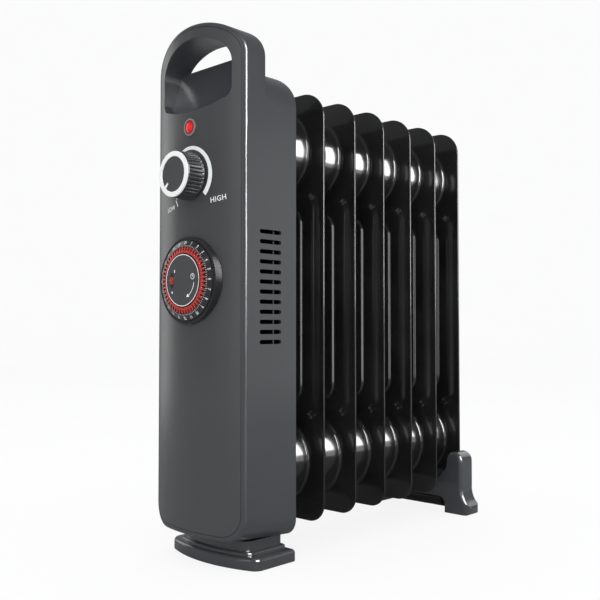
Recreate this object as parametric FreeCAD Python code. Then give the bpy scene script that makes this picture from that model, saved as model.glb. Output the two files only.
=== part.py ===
import FreeCAD, Part
import math
import os
from FreeCAD import Vector

# Oil filled radiator heater: control housing with an arched handle, seven pressed steel fins on two
# header barrels, a front foot under the housing and a rear foot clamped to the last fin.
# Millimetres. X is the width, Y runs from the control panel to the rear, Z is up from the floor.
# Every sub-part is drawn with Y = 0 at the crown of the front panel; place() moves it to the part's frame.

# ---- overall layout
overall_height = 385.0
plate_y = 38.0
fin_count = 7
fin_pitch = 36.9
first_fin_y = plate_y + 17.6
rear_overhang = 10.3
knob_reach = 15.5
last_fin_y = first_fin_y + (fin_count - 1) * fin_pitch
overall_length = knob_reach + last_fin_y + rear_overhang
crown_y = knob_reach - overall_length / 2

# ---- clearances
part_gap = 0.3
running_gap = 0.15
bore_gap = 0.08

# ---- drawing aids: reach of cutting tools, how far they stand past a face, and what counts as equal
far = 500.0
past = 20.0
equal = 0.02

# ---- control housing
housing_half = 48.6
housing_depth = first_fin_y + 3.1
housing_wall = 2.0
front_bottom = 21.0
rear_bottom = 18.4
front_corner = 19.0
rear_corner = 12.0
arch_rise = 28.0
arch_base = overall_height - arch_rise
shoulder_rise = 31.0
shoulder_base = arch_base - 30.0
handle_depth = 27.5
handle_root = shoulder_base - 77.0
front_sagitta = 9.6
front_radius = (housing_half ** 2 + front_sagitta ** 2) / (2 * front_sagitta)
edge_fillet = 2.6
rim_width = 3.6
panel_thickness = 2.5
ledge_thickness = 1.8
ledge_width = 3.0

# ---- handle opening and the scooped sill under it
opening_half = 37.8
opening_spring = arch_base - 5.0
opening_rise = 22.6
opening_bottom = shoulder_base - 5.2
opening_corner = 8.0
opening_sag = 5.0
scoop_front = 3.2
scoop_rear = 21.5
scoop_floor = opening_bottom - 1.2
scoop_mid = (11.5, scoop_floor + 10.9)
scoop_top = scoop_floor + 39.4

# ---- side vents
vent_count = 12
vent_pitch = 7.0
vent_first_z = 157.5
vent_height = 3.0
vent_start = plate_y - 15.5
vent_end = plate_y + 5.5

# ---- back plate and the lugs that carry it
plate_thickness = 1.2
plate_bottom = 27.0
plate_top = shoulder_base - 5.0
plate_flange = 14.0
plate_side_gap = 1.0
plate_corners = (6.0, 14.0)
lug_thickness = 2.6
lug_half = 5.5
boss_radius = 3.6
boss_x = 38.0
boss_levels = (plate_bottom + 19.0, plate_top - 18.0)
panel_screw_radius = 1.5
panel_screw_length = 16.0
pilot_spare = 2.0
screw_head_radius = 2.9
screw_head_height = 1.8

# ---- fins
fin_half = 45.7
fin_bottom = 21.0
fin_top = shoulder_base + shoulder_rise - 9.8
fin_top_corner = 21.5
fin_bottom_corner = 15.0
sheet = 0.8
dome_barrel = 30.6
dome_flare = 3.4
header_edge = dome_barrel + dome_flare + 10.2
header_low = fin_bottom + header_edge
header_high = fin_top - header_edge
fin_mid = (header_low + header_high) / 2
dome_round = 6.5
dome_draft = 14.0
end_dome_height = 8.6
end_dome_round = 4.0
header_bore = 14.0
channel_half = 41.0
channel_reach = header_high - fin_mid - 31.4
channel_corner = 14.0
channel_height = 2.4
oblong_half = 26.0
oblong_reach = channel_reach - 13.0
oblong_corner = 13.0
oblong_height = 1.7
oblong_root = 0.6
press_slope = 1.9
plug_flange_radius = 6.0
plug_flange_height = 1.0
plug_radius = 3.4
plug_height = 1.6

# ---- knob and thermostat
knob_z = opening_bottom - 46.6
knob_base_radius = 17.2
knob_front_radius = 16.3
knob_rear_y = -0.5
knob_body_front = -14.3
knob_ribs = 36
rib_depth = 0.75
rib_groove_radius = 1.0
trim_outer = 16.1
trim_inner = 12.5
cap_front = -15.0
knob_cavity_radius = 14.2
knob_cavity_floor = -3.6
trim_front = -knob_reach
pointer_length = 4.0
pointer_width = 1.1
pointer_angle = 225.0
spindle_radius = 3.0
spindle_tip = -11.0
thermostat_width = 32.0
thermostat_height = 26.0
thermostat_depth = 19.0
thermostat_front = 3.8
thermostat_shoulder = 8.5
thermostat_neck = 5.0
tab_x = 9.0
tab_length = 7.0
tab_half = 3.0
tab_thickness = 0.8
spindle_rest = 6.0
nut_radius = 7.0
nut_height = 2.4
nut_seat = 0.5
nut_room = 1.5

# ---- indicator lamp
lamp_z = opening_bottom - 11.1
lens_radius = 5.0
lens_dome = 1.9
lens_tail = 1.5
lens_lip = 1.2
lens_lip_height = 1.0
lamp_bezel_radius = 6.2
lamp_bezel_height = 0.9
lamp_radius = 3.2
lamp_length = 12.0
lead_radius = 0.4
lead_length = 6.0
lead_x = 1.4

# ---- day timer
timer_z = knob_z - 74.3
timer_bezel_radius = 31.0
timer_bezel_front = -2.3
timer_bezel_rear = 7.0
timer_bezel_wall = 2.2
timer_floor = 2.4
dial_front = -5.2
dial_edge_front = -3.0
dial_rear = 3.0
dial_rim = 0.8
tappet_count = 48
tappet_outer = 23.6
tappet_inner = 19.3
tappet_front = -6.3
tappet_length = 5.4
tappet_gap = 0.35
tappet_travel = 1.6
tappet_rest = 0.7
groove_floor = tappet_front + tappet_length + tappet_travel + tappet_rest
disc_radius = 18.5
disc_front = -6.6
disc_thickness = 1.8
timer_post_radius = 3.0
hub_radius = 5.0
switch_x = -11.5
switch_width = 2.8
switch_height = 5.0
switch_travel = 2.5
switch_end_gap = 0.5
switch_slot_width = switch_width + 0.6
switch_slot_height = switch_height + 2 * (switch_travel + switch_end_gap)
switch_slot_share = 0.6
switch_foot_front = 0.6
switch_grip_front = 1.6
switch_grip_half = 0.9
case_half = 25.6
case_depth = 19.5
case_wall = 1.6
case_corner = 4.0
gear_module = 0.7
gear_teeth = 40
pinion_teeth = 12
gear_width = 3.0
gear_y = 16.0
tooth_share = 0.40
tooth_tip = 0.85
tooth_root = 1.2
flank_angle = 20.0
motor_radius = 12.0
motor_depth = 8.0
motor_shaft = 1.0
motor_shaft_reach = 3.0

# ---- studs that join the radiator to the back plate
stud_radius = 2.5
stud_sleeve = 4.0
stud_offset = 55.0
stud_tip = 4.5
stud_nut_radius = 4.6
stud_nut_height = 2.8

# ---- heating element
element_radius = 4.0
element_spacing = 8.5
element_stop = 12.0
element_lead = 2.0
element_hole_gap = 1.5
flange_radius = 18.5
flange_thickness = 3.0
bead_radius = 3.2
bead_length = 4.0
blade_length = 8.0
blade_half = 3.1
blade_thickness = 0.8

# ---- small electrical parts
terminal_block_size = (34.0, 10.0, 16.0)
terminal_block_z = 92.0
terminal_hole_radius = 2.4
terminal_hole_floor = 5.0
cutout_radius = 8.0
cutout_height = 7.0
cutout_x = 24.0
cutout_z = timer_z - 50.9
cutout_tab_x = 4.0
cutout_tab_half = 2.0
cutout_tab_reach = 5.0
cutout_tab_thickness = 0.8
earth_x = -24.0
earth_z = 112.0
inlet_y = plate_y - 14.0
inlet_z = 62.0
inlet_bore = 3.6
inlet_tube = 5.4
inlet_flange = 7.6
inlet_flange_height = 1.6
inlet_tail = 3.0
wire_radius = 0.9
wire_bend = 3.0
wire_lane = 30.0
wire_depth = plate_y - 6.0

# ---- front foot
base_half = 47.0
base_rear = housing_depth + 1.8
base_front = 12.6
base_bow = 10.2
base_corner = 8.0
base_height = 9.0
base_round = 2.8
base_foot_round = 1.0
rear_set_back = (1.5, 2.5)
step_half = 38.5
step_front = 15.6
step_bow = 7.0
step_height = 2.4
neck_half = 35.0
neck_front = 18.0
neck_bow = 6.0
neck_corner = 9.0
neck_top = rear_bottom - part_gap
tongue_half = 24.0
foot_screw_x = 15.0
foot_screw_y = plate_y - 5.0
foot_screw_radius = 2.0
foot_screw_head = 3.8
foot_screw_head_height = 2.2
foot_screw_sink = 5.0
tongue_front = foot_screw_y - 4.0
tongue_rear = foot_screw_y + 13.0
screw_spare = 3.0

# ---- rear foot
leg_x = 45.0
leg_half = 8.5
leg_top = 55.0
toe_x = 61.0
toe_height = 9.0
toe_nose = 3.0
toe_lip = 2.0
flare_height = 16.0
flare_bulge = (1.3, 6.5)
foot_front = 10.3
inner_leg = 36.0
arch_height = 14.0
arch_run = 6.0
cutout_clearance = 11.0
foot_fillet = 3.5
toe_round = 7.0
clamp_front = 2.0
clamp_sink = 4.0
rail_screw_sink = 4.0
rail_screw_reach = 4.0
rail_half = 29.5
rail_radius = 7.6
rail_bottom = 3.2
rail_screw_x = 18.0
clamp_screw_x = 40.0
clamp_screw_z = 36.0
small_screw_radius = 1.5
small_head_radius = 3.0
small_head_height = 2.0


def point(x, y, z):
    return Vector(x, y, z)


def line(start, end):
    return Part.LineSegment(start, end).toShape()


def arc(start, middle, end):
    return Part.Arc(start, middle, end).toShape()


def prism_y(wire, y_start, y_end):
    """Extrude a closed XZ wire drawn at y = 0 between two Y values."""
    face = Part.Face(wire)
    face.translate(Vector(0, y_start, 0))
    return face.extrude(Vector(0, y_end - y_start, 0))


def cylinder_y(radius, y_start, y_end, x=0.0, z=0.0):
    return Part.makeCylinder(radius, y_end - y_start, Vector(x, y_start, z), Vector(0, 1, 0))


def ring_y(outer, inner, y_start, y_end, x=0.0, z=0.0):
    hole = cylinder_y(inner, y_start - past, y_end + past, x, z)
    return cylinder_y(outer, y_start, y_end, x, z).cut(hole)


def cylinder_z(radius, z_start, z_end, x=0.0, y=0.0):
    return Part.makeCylinder(radius, z_end - z_start, Vector(x, y, z_start), Vector(0, 0, 1))


def box(x_range, y_range, z_range):
    size = (x_range[1] - x_range[0], y_range[1] - y_range[0], z_range[1] - z_range[0])
    return Part.makeBox(*size, Vector(x_range[0], y_range[0], z_range[0]))


def lathe_y(profile_edges, z=0.0):
    """Turn a closed profile, drawn in the XY half plane, about the Y axis and lift it to z."""
    solid = Part.Face(Part.Wire(profile_edges)).revolve(Vector(0, 0, 0), Vector(0, 1, 0), 360)
    solid.translate(Vector(0, 0, z))
    return solid


def loop(points):
    """Closed chain of straight edges."""
    return [line(points[i - 1], points[i]) for i in range(len(points))]


def fuse_all(shapes):
    return shapes[0].multiFuse(shapes[1:]).removeSplitter()


def largest_solid(shape):
    return max(shape.Solids, key=lambda solid: solid.Volume)


def edges_where(shape, test):
    return [edge for edge in shape.Edges if test(edge)]


# ------------------------------------------------------------------ outlines

def arched_outline(half, bottom, corner, spring, rise, y=0.0):
    """Upright outline: rounded bottom corners, straight sides and a half-ellipse on top."""
    diagonal = corner * (1 - math.sqrt(0.5))
    ellipse = Part.Ellipse(point(half, y, spring), point(0, y, spring + rise), point(0, y, spring))
    if rise > half:
        ellipse = Part.Ellipse(point(0, y, spring + rise), point(half, y, spring), point(0, y, spring))
    top = Part.ArcOfEllipse(ellipse, 0, math.pi).toShape()
    return Part.Wire([
        line(point(-half + corner, y, bottom), point(half - corner, y, bottom)),
        arc(point(half - corner, y, bottom), point(half - diagonal, y, bottom + diagonal),
            point(half, y, bottom + corner)),
        line(point(half, y, bottom + corner), point(half, y, spring)),
        top,
        line(point(-half, y, spring), point(-half, y, bottom + corner)),
        arc(point(-half, y, bottom + corner), point(-half + diagonal, y, bottom + diagonal),
            point(-half + corner, y, bottom)),
    ])


def rounded_rectangle(half, z_low, z_high, corner_low, corner_high, y=0.0):
    low = corner_low * (1 - math.sqrt(0.5))
    high = corner_high * (1 - math.sqrt(0.5))
    return Part.Wire([
        line(point(-half + corner_low, y, z_low), point(half - corner_low, y, z_low)),
        arc(point(half - corner_low, y, z_low), point(half - low, y, z_low + low),
            point(half, y, z_low + corner_low)),
        line(point(half, y, z_low + corner_low), point(half, y, z_high - corner_high)),
        arc(point(half, y, z_high - corner_high), point(half - high, y, z_high - high),
            point(half - corner_high, y, z_high)),
        line(point(half - corner_high, y, z_high), point(-half + corner_high, y, z_high)),
        arc(point(-half + corner_high, y, z_high), point(-half + high, y, z_high - high),
            point(-half, y, z_high - corner_high)),
        line(point(-half, y, z_high - corner_high), point(-half, y, z_low + corner_low)),
        arc(point(-half, y, z_low + corner_low), point(-half + low, y, z_low + low),
            point(-half + corner_low, y, z_low)),
    ])


def opening_outline(grow=0.0):
    """Handle opening: half-ellipse top, upright sides and a smiling lower edge."""
    half = opening_half + grow
    bottom = opening_bottom - grow
    corner = opening_corner + grow
    top = point(0, 0, opening_spring + opening_rise + grow)
    ellipse = Part.Ellipse(point(half, 0, opening_spring), top, point(0, 0, opening_spring))
    diagonal = corner * (1 - math.sqrt(0.5))
    corner_z = bottom + opening_sag
    return Part.Wire([
        arc(point(-half + corner, 0, corner_z), point(0, 0, bottom), point(half - corner, 0, corner_z)),
        arc(point(half - corner, 0, corner_z), point(half - diagonal, 0, corner_z + diagonal),
            point(half, 0, corner_z + corner)),
        line(point(half, 0, corner_z + corner), point(half, 0, opening_spring)),
        Part.ArcOfEllipse(ellipse, 0, math.pi).toShape(),
        line(point(-half, 0, opening_spring), point(-half, 0, corner_z + corner)),
        arc(point(-half, 0, corner_z + corner), point(-half + diagonal, 0, corner_z + diagonal),
            point(-half + corner, 0, corner_z)),
    ])


def behind_front(offset):
    """Everything more than offset behind the convex front surface, measured square to it."""
    radius = front_radius - offset
    half = housing_half + past / 2
    chord_y = front_radius - math.sqrt(radius ** 2 - half ** 2)
    edges = [
        arc(point(-half, chord_y, -past), point(0, offset, -past), point(half, chord_y, -past)),
        line(point(half, chord_y, -past), point(half, far, -past)),
        line(point(half, far, -past), point(-half, far, -past)),
        line(point(-half, far, -past), point(-half, chord_y, -past)),
    ]
    return Part.Face(Part.Wire(edges)).extrude(Vector(0, 0, overall_height + 2 * past))


def front_layer(start, end):
    """Curved slab between two depths behind the front surface."""
    return behind_front(start).cut(behind_front(end))


def body_loft(inset):
    """Housing body without the handle: its lower corners tighten and drop towards the rear."""
    front = arched_outline(housing_half - inset, front_bottom + inset, front_corner - inset,
                           shoulder_base, shoulder_rise - inset, -1.0)
    rear = arched_outline(housing_half - inset, rear_bottom + inset, rear_corner - inset,
                          shoulder_base, shoulder_rise - inset, housing_depth)
    return Part.makeLoft([front, rear], True, True)


def full_outline(inset):
    return arched_outline(housing_half - inset, front_bottom + inset, front_corner - inset,
                          arch_base, arch_rise - inset)


def scoop(grow):
    """Space over the sill: inside the handle opening and above the scooped surface."""
    front = -past
    rear = housing_depth + past
    floor = scoop_floor - grow
    sill_front = scoop_front + grow
    sill_rear = scoop_rear + grow
    edges = [
        arc(point(0, sill_front, floor), point(0, scoop_mid[0] + grow, scoop_mid[1] - grow),
            point(0, sill_rear, scoop_top)),
        line(point(0, sill_rear, scoop_top), point(0, rear, scoop_top)),
        line(point(0, rear, scoop_top), point(0, rear, far)),
        line(point(0, rear, far), point(0, front, far)),
        line(point(0, front, far), point(0, front, floor)),
        line(point(0, front, floor), point(0, sill_front, floor)),
    ]
    above = Part.Face(Part.Wire(edges))
    above.translate(Vector(-far / 2, 0, 0))
    return prism_y(opening_outline(grow), front, rear).common(above.extrude(Vector(far, 0, 0)))


# ------------------------------------------------------------------ housing

def on_outer_front_edge(edge):
    """True for the edges where the convex front meets the outer side walls and arch."""
    middle = (edge.FirstParameter + edge.LastParameter) / 2
    for parameter in (edge.FirstParameter, middle, edge.LastParameter):
        spot = edge.valueAt(parameter)
        surface_y = front_radius - math.sqrt(front_radius ** 2 - spot.x ** 2)
        if abs(spot.y - surface_y) > equal:
            return False
    return True


def housing_outer():
    handle = prism_y(arched_outline(housing_half, handle_root, 1, arch_base, arch_rise), -1, handle_depth)
    body = fuse_all([body_loft(0), handle]).common(behind_front(0))
    body = largest_solid(body.removeSplitter())
    return body.makeFillet(edge_fillet, edges_where(body, on_outer_front_edge))


def vent_slots():
    slots = []
    radius = vent_height / 2
    for i in range(vent_count):
        z = vent_first_z + i * vent_pitch
        slot = box((-far, far), (vent_start + radius, vent_end - radius), (z - radius, z + radius))
        for y in (vent_start + radius, vent_end - radius):
            end = Part.makeCylinder(radius, 2 * far, Vector(-far, y, z), Vector(1, 0, 0))
            slot = slot.fuse(end)
        slots.append(slot)
    return Part.makeCompound(slots)


def screw_lugs():
    """Four tabs inside the side walls; the panel bosses and the back plate meet on them."""
    rear = plate_y
    front = plate_y - lug_thickness
    lugs = []
    for z in boss_levels:
        for side in (-1, 1):
            inner = side * (boss_x - lug_half)
            outer = side * (housing_half - housing_wall / 2)
            lug = box((min(inner, outer), max(inner, outer)), (front, rear), (z - lug_half, z + lug_half))
            hole = cylinder_y(panel_screw_radius + bore_gap, front - 1, rear + 1, side * boss_x, z)
            lugs.append(lug.cut(hole))
    return lugs


def housing_shell():
    cavity = body_loft(housing_wall).common(behind_front(panel_thickness + ledge_thickness))
    window = arched_outline(housing_half - rim_width - ledge_width, front_bottom + rim_width + ledge_width,
                            front_corner - rim_width - ledge_width, shoulder_base,
                            shoulder_rise - rim_width - ledge_width)
    cavity = cavity.fuse(prism_y(window, -past, housing_depth / 2)).cut(scoop(housing_wall))
    open_rear = body_loft(housing_wall).common(box((-far, far), (housing_depth - 1, far), (0, far)))
    open_rear.translate(Vector(0, 0.5, 0))
    seat = prism_y(full_outline(rim_width - part_gap), -past, housing_depth)
    seat = seat.common(front_layer(-1, panel_thickness + bore_gap))
    shell = housing_outer().cut(cavity).cut(open_rear).cut(seat).cut(scoop(0)).cut(vent_slots())
    tongue_hole = box((-tongue_half - part_gap, tongue_half + part_gap),
                      (tongue_front - part_gap, tongue_rear + part_gap), (0, plate_bottom))
    inlet_start = Vector(-housing_half - past / 2, inlet_y, inlet_z)
    inlet_hole = Part.makeCylinder(inlet_tube + bore_gap, past, inlet_start, Vector(1, 0, 0))
    shell = shell.cut(tongue_hole).cut(inlet_hole)
    return largest_solid(fuse_all([shell] + screw_lugs()))


def front_panel():
    panel = prism_y(full_outline(rim_width), -past, housing_depth).common(front_layer(0, panel_thickness))
    panel = panel.cut(prism_y(opening_outline(), -past, housing_depth))
    holes = [
        cylinder_y(thermostat_neck + bore_gap, -past, past, 0, knob_z),
        cylinder_y(nut_radius + nut_room, -past, nut_seat, 0, knob_z),
        cylinder_y(lens_radius + bore_gap, -past, past, 0, lamp_z),
        cylinder_y(timer_bezel_radius + running_gap, -past, past, 0, timer_z),
    ]
    for hole in holes:
        panel = panel.cut(hole)
    bosses = []
    for z in boss_levels:
        for side in (-1, 1):
            boss = cylinder_y(boss_radius, 0, plate_y - lug_thickness, side * boss_x, z)
            boss = boss.common(behind_front(panel_thickness / 2))
            pilot = cylinder_y(panel_screw_radius, plate_y - lug_thickness - panel_screw_length, plate_y,
                               side * boss_x, z)
            bosses.append(boss.cut(pilot))
    return largest_solid(fuse_all([panel] + bosses))


def panel_screws():
    screws = []
    seat = plate_y + plate_thickness
    tip = plate_y - lug_thickness - panel_screw_length + pilot_spare
    for z in boss_levels:
        for side in (-1, 1):
            shank = cylinder_y(panel_screw_radius, tip, seat, side * boss_x, z)
            head = cylinder_y(screw_head_radius, seat, seat + screw_head_height, side * boss_x, z)
            screws.append(shank.fuse(head).removeSplitter())
    return Part.makeCompound(screws)


def back_plate():
    """Steel plate that closes the control space and joins housing, foot and radiator."""
    half = housing_half - housing_wall - plate_side_gap
    outline = rounded_rectangle(half, plate_bottom, plate_top, *plate_corners)
    plate = prism_y(outline, plate_y, plate_y + plate_thickness)
    flange = box((-tongue_half, tongue_half), (plate_y - plate_flange, plate_y),
                 (plate_bottom, plate_bottom + plate_thickness))
    plate = fuse_all([plate, flange])
    for z in boss_levels:
        for side in (-1, 1):
            plate = plate.cut(cylinder_y(panel_screw_radius + bore_gap, plate_y - 1, plate_y + past,
                                         side * boss_x, z))
    for side in (-1, 1):
        plate = plate.cut(cylinder_z(foot_screw_radius + bore_gap, 0, plate_bottom + past,
                                     side * foot_screw_x, foot_screw_y))
        plate = plate.cut(cylinder_y(stud_radius + bore_gap, 0, plate_y + past, 0,
                                     fin_mid + side * stud_offset))
        plate = plate.cut(cylinder_y(element_radius + element_hole_gap, 0, plate_y + past,
                                     side * element_spacing, header_low))
    return plate.cut(cylinder_y(small_screw_radius + bore_gap, 0, plate_y + past, earth_x, earth_z))


# ------------------------------------------------------------------ radiator

def dome(height, rounding, inset):
    """Header bulge turned about Y: flared foot, barrel with draft, rounded shoulder, flat face."""
    start = 0 if inset else sheet
    flare = dome_flare - inset / 2
    top = height - inset
    shoulder = rounding - inset
    foot_radius = dome_barrel - inset + flare
    draft = math.radians(dome_draft)
    middle = (math.pi / 2 + draft) / 2
    wall_start = (foot_radius - flare * math.cos(draft), start + flare - flare * math.sin(draft))
    shoulder_y = top - shoulder
    wall_end_y = shoulder_y + shoulder * math.sin(draft)
    wall_end = (wall_start[0] - (wall_end_y - wall_start[1]) * math.tan(draft), wall_end_y)
    shoulder_radius = wall_end[0] - shoulder * math.cos(draft)
    edges = [
        line(point(0, 0, 0), point(foot_radius, 0, 0)),
        arc(point(foot_radius, start, 0),
            point(foot_radius - flare * math.cos(middle), start + flare - flare * math.sin(middle), 0),
            point(*wall_start, 0)),
        line(point(*wall_start, 0), point(*wall_end, 0)),
        arc(point(*wall_end, 0),
            point(shoulder_radius + shoulder * math.cos(middle),
                  shoulder_y + shoulder * math.sin(middle), 0),
            point(shoulder_radius, top, 0)),
        line(point(shoulder_radius, top, 0), point(0, top, 0)),
        line(point(0, top, 0), point(0, 0, 0)),
    ]
    if start:
        edges.insert(1, line(point(foot_radius, 0, 0), point(foot_radius, start, 0)))
    return lathe_y(edges)


def raised_panel(half, reach, corner, foot_y, top_y, inset):
    """Flat-topped bulge with sloping sides, centred on the fin's height."""
    base = rounded_rectangle(half - inset, fin_mid - reach + inset, fin_mid + reach - inset,
                             corner - inset, corner - inset, foot_y)
    slope = press_slope + inset
    top = rounded_rectangle(half - slope, fin_mid - reach + slope, fin_mid + reach - slope,
                            corner - slope, corner - slope, top_y)
    return Part.makeLoft([base, top], True, True)


def bulges(heights, inset):
    """Oil space of one pressing as solids; inset 0 gives the outside, inset = sheet the inside."""
    lift = sheet - inset
    solids = [
        raised_panel(channel_half, channel_reach, channel_corner, 0, channel_height + lift, inset),
        raised_panel(oblong_half, oblong_reach, oblong_corner, channel_height * oblong_root,
                     channel_height + oblong_height + lift, inset),
    ]
    for z, height in zip((header_low, header_high), heights):
        rounding = dome_round if height > end_dome_height else end_dome_round
        bulge = dome(height, rounding, inset)
        bulge.translate(Vector(0, 0, z))
        solids.append(bulge)
    return fuse_all(solids)


def pressing(heights, bores, clamp_holes):
    """One fin half, drawn with its seam face at Y = 0 and its bulges towards +Y."""
    outline = rounded_rectangle(fin_half, fin_bottom, fin_top, fin_bottom_corner, fin_top_corner)
    shape = fuse_all([prism_y(outline, 0, sheet), bulges(heights, 0)]).cut(bulges(heights, sheet))
    for z, radius in zip((header_low, header_high), bores):
        if radius:
            shape = shape.cut(cylinder_y(radius, -1, fin_pitch, 0, z))
    if clamp_holes:
        for side in (-1, 1):
            shape = shape.cut(cylinder_y(small_screw_radius + bore_gap, -1, past,
                                         side * clamp_screw_x, clamp_screw_z))
    return largest_solid(shape)


def fins():
    """All pressings by name, numbered from the housing; each fin is a front and a rear half."""
    inner = (fin_pitch / 2, fin_pitch / 2)
    end = (end_dome_height, end_dome_height)
    open_bores = (header_bore, header_bore)
    middle = pressing(inner, open_bores, False)
    front_end = pressing(end, (header_bore, 0), False)
    last_front = pressing(inner, open_bores, True)
    rear_end = pressing(end, (0, 0), True)
    halves = {}
    for i in range(fin_count):
        front = front_end if i == 0 else middle
        rear = middle
        if i == fin_count - 1:
            front = last_front
            rear = rear_end
        front = front.mirror(Vector(0, 0, 0), Vector(0, 1, 0))
        for name, half in (("front", front), ("rear", rear)):
            placed = half.copy()
            placed.translate(Vector(0, first_fin_y + i * fin_pitch, 0))
            halves[f"fin_{i + 1}_{name}"] = placed
    return halves


def oil_filler_plug():
    seat = last_fin_y + end_dome_height
    return fuse_all([cylinder_y(plug_flange_radius, seat, seat + plug_flange_height, 0, header_high),
                     cylinder_y(plug_radius, seat, seat + plug_height, 0, header_high)])


def mounting_studs():
    front_face = first_fin_y - channel_height - oblong_height - sheet
    studs = []
    for side in (-1, 1):
        z = fin_mid + side * stud_offset
        sleeve = cylinder_y(stud_sleeve, plate_y + plate_thickness, front_face, 0, z)
        thread = cylinder_y(stud_radius, plate_y - stud_tip, front_face, 0, z)
        studs.append(fuse_all([sleeve, thread]))
    return Part.makeCompound(studs)


def hexagon_nut(radius, bore, y_start, y_end, z):
    angles = [math.radians(60 * i) for i in range(6)]
    corners = [point(radius * math.cos(angle), y_start, z + radius * math.sin(angle)) for angle in angles]
    block = Part.Face(Part.Wire(loop(corners))).extrude(Vector(0, y_end - y_start, 0))
    return block.cut(cylinder_y(bore, y_start - 1, y_end + 1, 0, z))


def mounting_nuts():
    return Part.makeCompound([
        hexagon_nut(stud_nut_radius, stud_radius + bore_gap, plate_y - stud_nut_height, plate_y,
                    fin_mid + side * stud_offset) for side in (-1, 1)])


# ------------------------------------------------------------------ heating element

def heater_flange():
    seat = first_fin_y - end_dome_height
    body = fuse_all([
        cylinder_y(flange_radius, seat - flange_thickness, seat, 0, header_low),
        cylinder_y(header_bore - part_gap, seat, seat + sheet * 2, 0, header_low)])
    for side in (-1, 1):
        body = body.cut(cylinder_y(element_radius + bore_gap, 0, far, side * element_spacing, header_low))
    return body


def heater_element():
    """Tubular element bent into a hairpin inside the lower header barrel."""
    start = first_fin_y - end_dome_height - flange_thickness - element_lead
    end = last_fin_y - element_stop - element_spacing
    legs = [cylinder_y(element_radius, start, end, side * element_spacing, header_low) for side in (-1, 1)]
    bend = Part.makeTorus(element_spacing, element_radius, Vector(0, end, header_low), Vector(0, 0, 1))
    bend = bend.common(box((-far, far), (end, far), (0, far)))
    return fuse_all(legs + [bend])


def heater_terminals():
    start = first_fin_y - end_dome_height - flange_thickness - element_lead
    blades = []
    for side in (-1, 1):
        x = side * element_spacing
        bead = cylinder_y(bead_radius, start - bead_length, start, x, header_low)
        blade = box((x - blade_thickness / 2, x + blade_thickness / 2),
                    (start - bead_length - blade_length, start - bead_length),
                    (header_low - blade_half, header_low + blade_half))
        blades.append(fuse_all([bead, blade]))
    return Part.makeCompound(blades)


# ------------------------------------------------------------------ knob and thermostat

def thermostat_body():
    half = thermostat_width / 2
    rear = thermostat_front + thermostat_depth
    body = box((-half, half), (thermostat_front, rear),
               (knob_z - thermostat_height / 2, knob_z + thermostat_height / 2))
    shoulder = cylinder_y(thermostat_shoulder, panel_thickness + part_gap, thermostat_front, 0, knob_z)
    neck = cylinder_y(thermostat_neck, nut_seat - nut_height, thermostat_front, 0, knob_z)
    tabs = [box((side * tab_x - tab_half, side * tab_x + tab_half), (rear, rear + tab_length),
                (knob_z - tab_thickness / 2, knob_z + tab_thickness / 2)) for side in (-1, 1)]
    body = fuse_all([body, shoulder, neck] + tabs)
    return body.cut(cylinder_y(spindle_radius + bore_gap, -far, rear - spindle_rest, 0, knob_z))


def thermostat_nut():
    return hexagon_nut(nut_radius, thermostat_neck + bore_gap, nut_seat - nut_height, nut_seat, knob_z)


def thermostat_spindle():
    inner = thermostat_front + thermostat_depth - spindle_rest - part_gap
    return cylinder_y(spindle_radius, spindle_tip, inner, 0, knob_z)


def thermostat_knob():
    """Ribbed knob, hollow at the rear to clear the thermostat nut."""
    profile = loop([
        point(0, knob_cavity_floor, 0),
        point(knob_cavity_radius, knob_cavity_floor, 0),
        point(knob_cavity_radius, knob_rear_y, 0),
        point(knob_base_radius, knob_rear_y, 0),
        point(knob_front_radius, knob_body_front, 0),
        point(0, knob_body_front, 0),
    ])
    knob = lathe_y(profile, knob_z)
    knob = knob.cut(cylinder_y(spindle_radius + bore_gap, spindle_tip - part_gap, 0, 0, knob_z))
    grooves = []
    lean = math.atan2(knob_base_radius - knob_front_radius, knob_rear_y - knob_body_front)
    for i in range(knob_ribs):
        angle = 360 / knob_ribs * i
        start = Vector(knob_base_radius + rib_groove_radius - rib_depth, knob_rear_y, 0)
        direction = Vector(-math.sin(lean), -math.cos(lean), 0)
        groove = Part.makeCylinder(rib_groove_radius, 2 * past, start - direction * (past / 4), direction)
        groove.rotate(Vector(0, 0, 0), Vector(0, 1, 0), angle)
        groove.translate(Vector(0, 0, knob_z))
        grooves.append(groove)
    return largest_solid(knob.cut(Part.makeCompound(grooves)))


def pointer_bar(width, reach, y_start, y_end):
    bar = box((trim_inner - reach, trim_inner + 1), (y_start, y_end), (-width / 2, width / 2))
    bar.rotate(Vector(0, 0, 0), Vector(0, -1, 0), pointer_angle)
    bar.translate(Vector(0, 0, knob_z))
    return bar


def knob_trim_ring():
    ring = ring_y(trim_outer, trim_inner, trim_front, knob_body_front, 0, knob_z)
    bar = pointer_bar(pointer_width, pointer_length, cap_front, knob_body_front)
    return fuse_all([ring, bar])


def knob_cap():
    cap = cylinder_y(trim_inner - bore_gap, cap_front, knob_body_front, 0, knob_z)
    return cap.cut(pointer_bar(pointer_width + 2 * bore_gap, pointer_length + bore_gap, -far, far))


# ------------------------------------------------------------------ indicator lamp

def indicator_lens():
    radius = (lens_radius ** 2 + lens_dome ** 2) / (2 * lens_dome)
    tail = panel_thickness + lens_tail
    body = cylinder_y(lens_radius, -lens_dome, tail, 0, lamp_z)
    ball = Part.makeSphere(radius, Vector(0, radius - lens_dome, lamp_z))
    barrel = body.common(ball.fuse(cylinder_y(lens_radius, 0, far, 0, lamp_z)))
    rim = ring_y(lens_radius + lens_lip, lens_radius - 1, tail - lens_lip_height, tail, 0, lamp_z)
    return fuse_all([barrel, rim])


def indicator_bezel():
    return ring_y(lamp_bezel_radius, lens_radius + bore_gap, -lamp_bezel_height, 0, 0, lamp_z)


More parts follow.
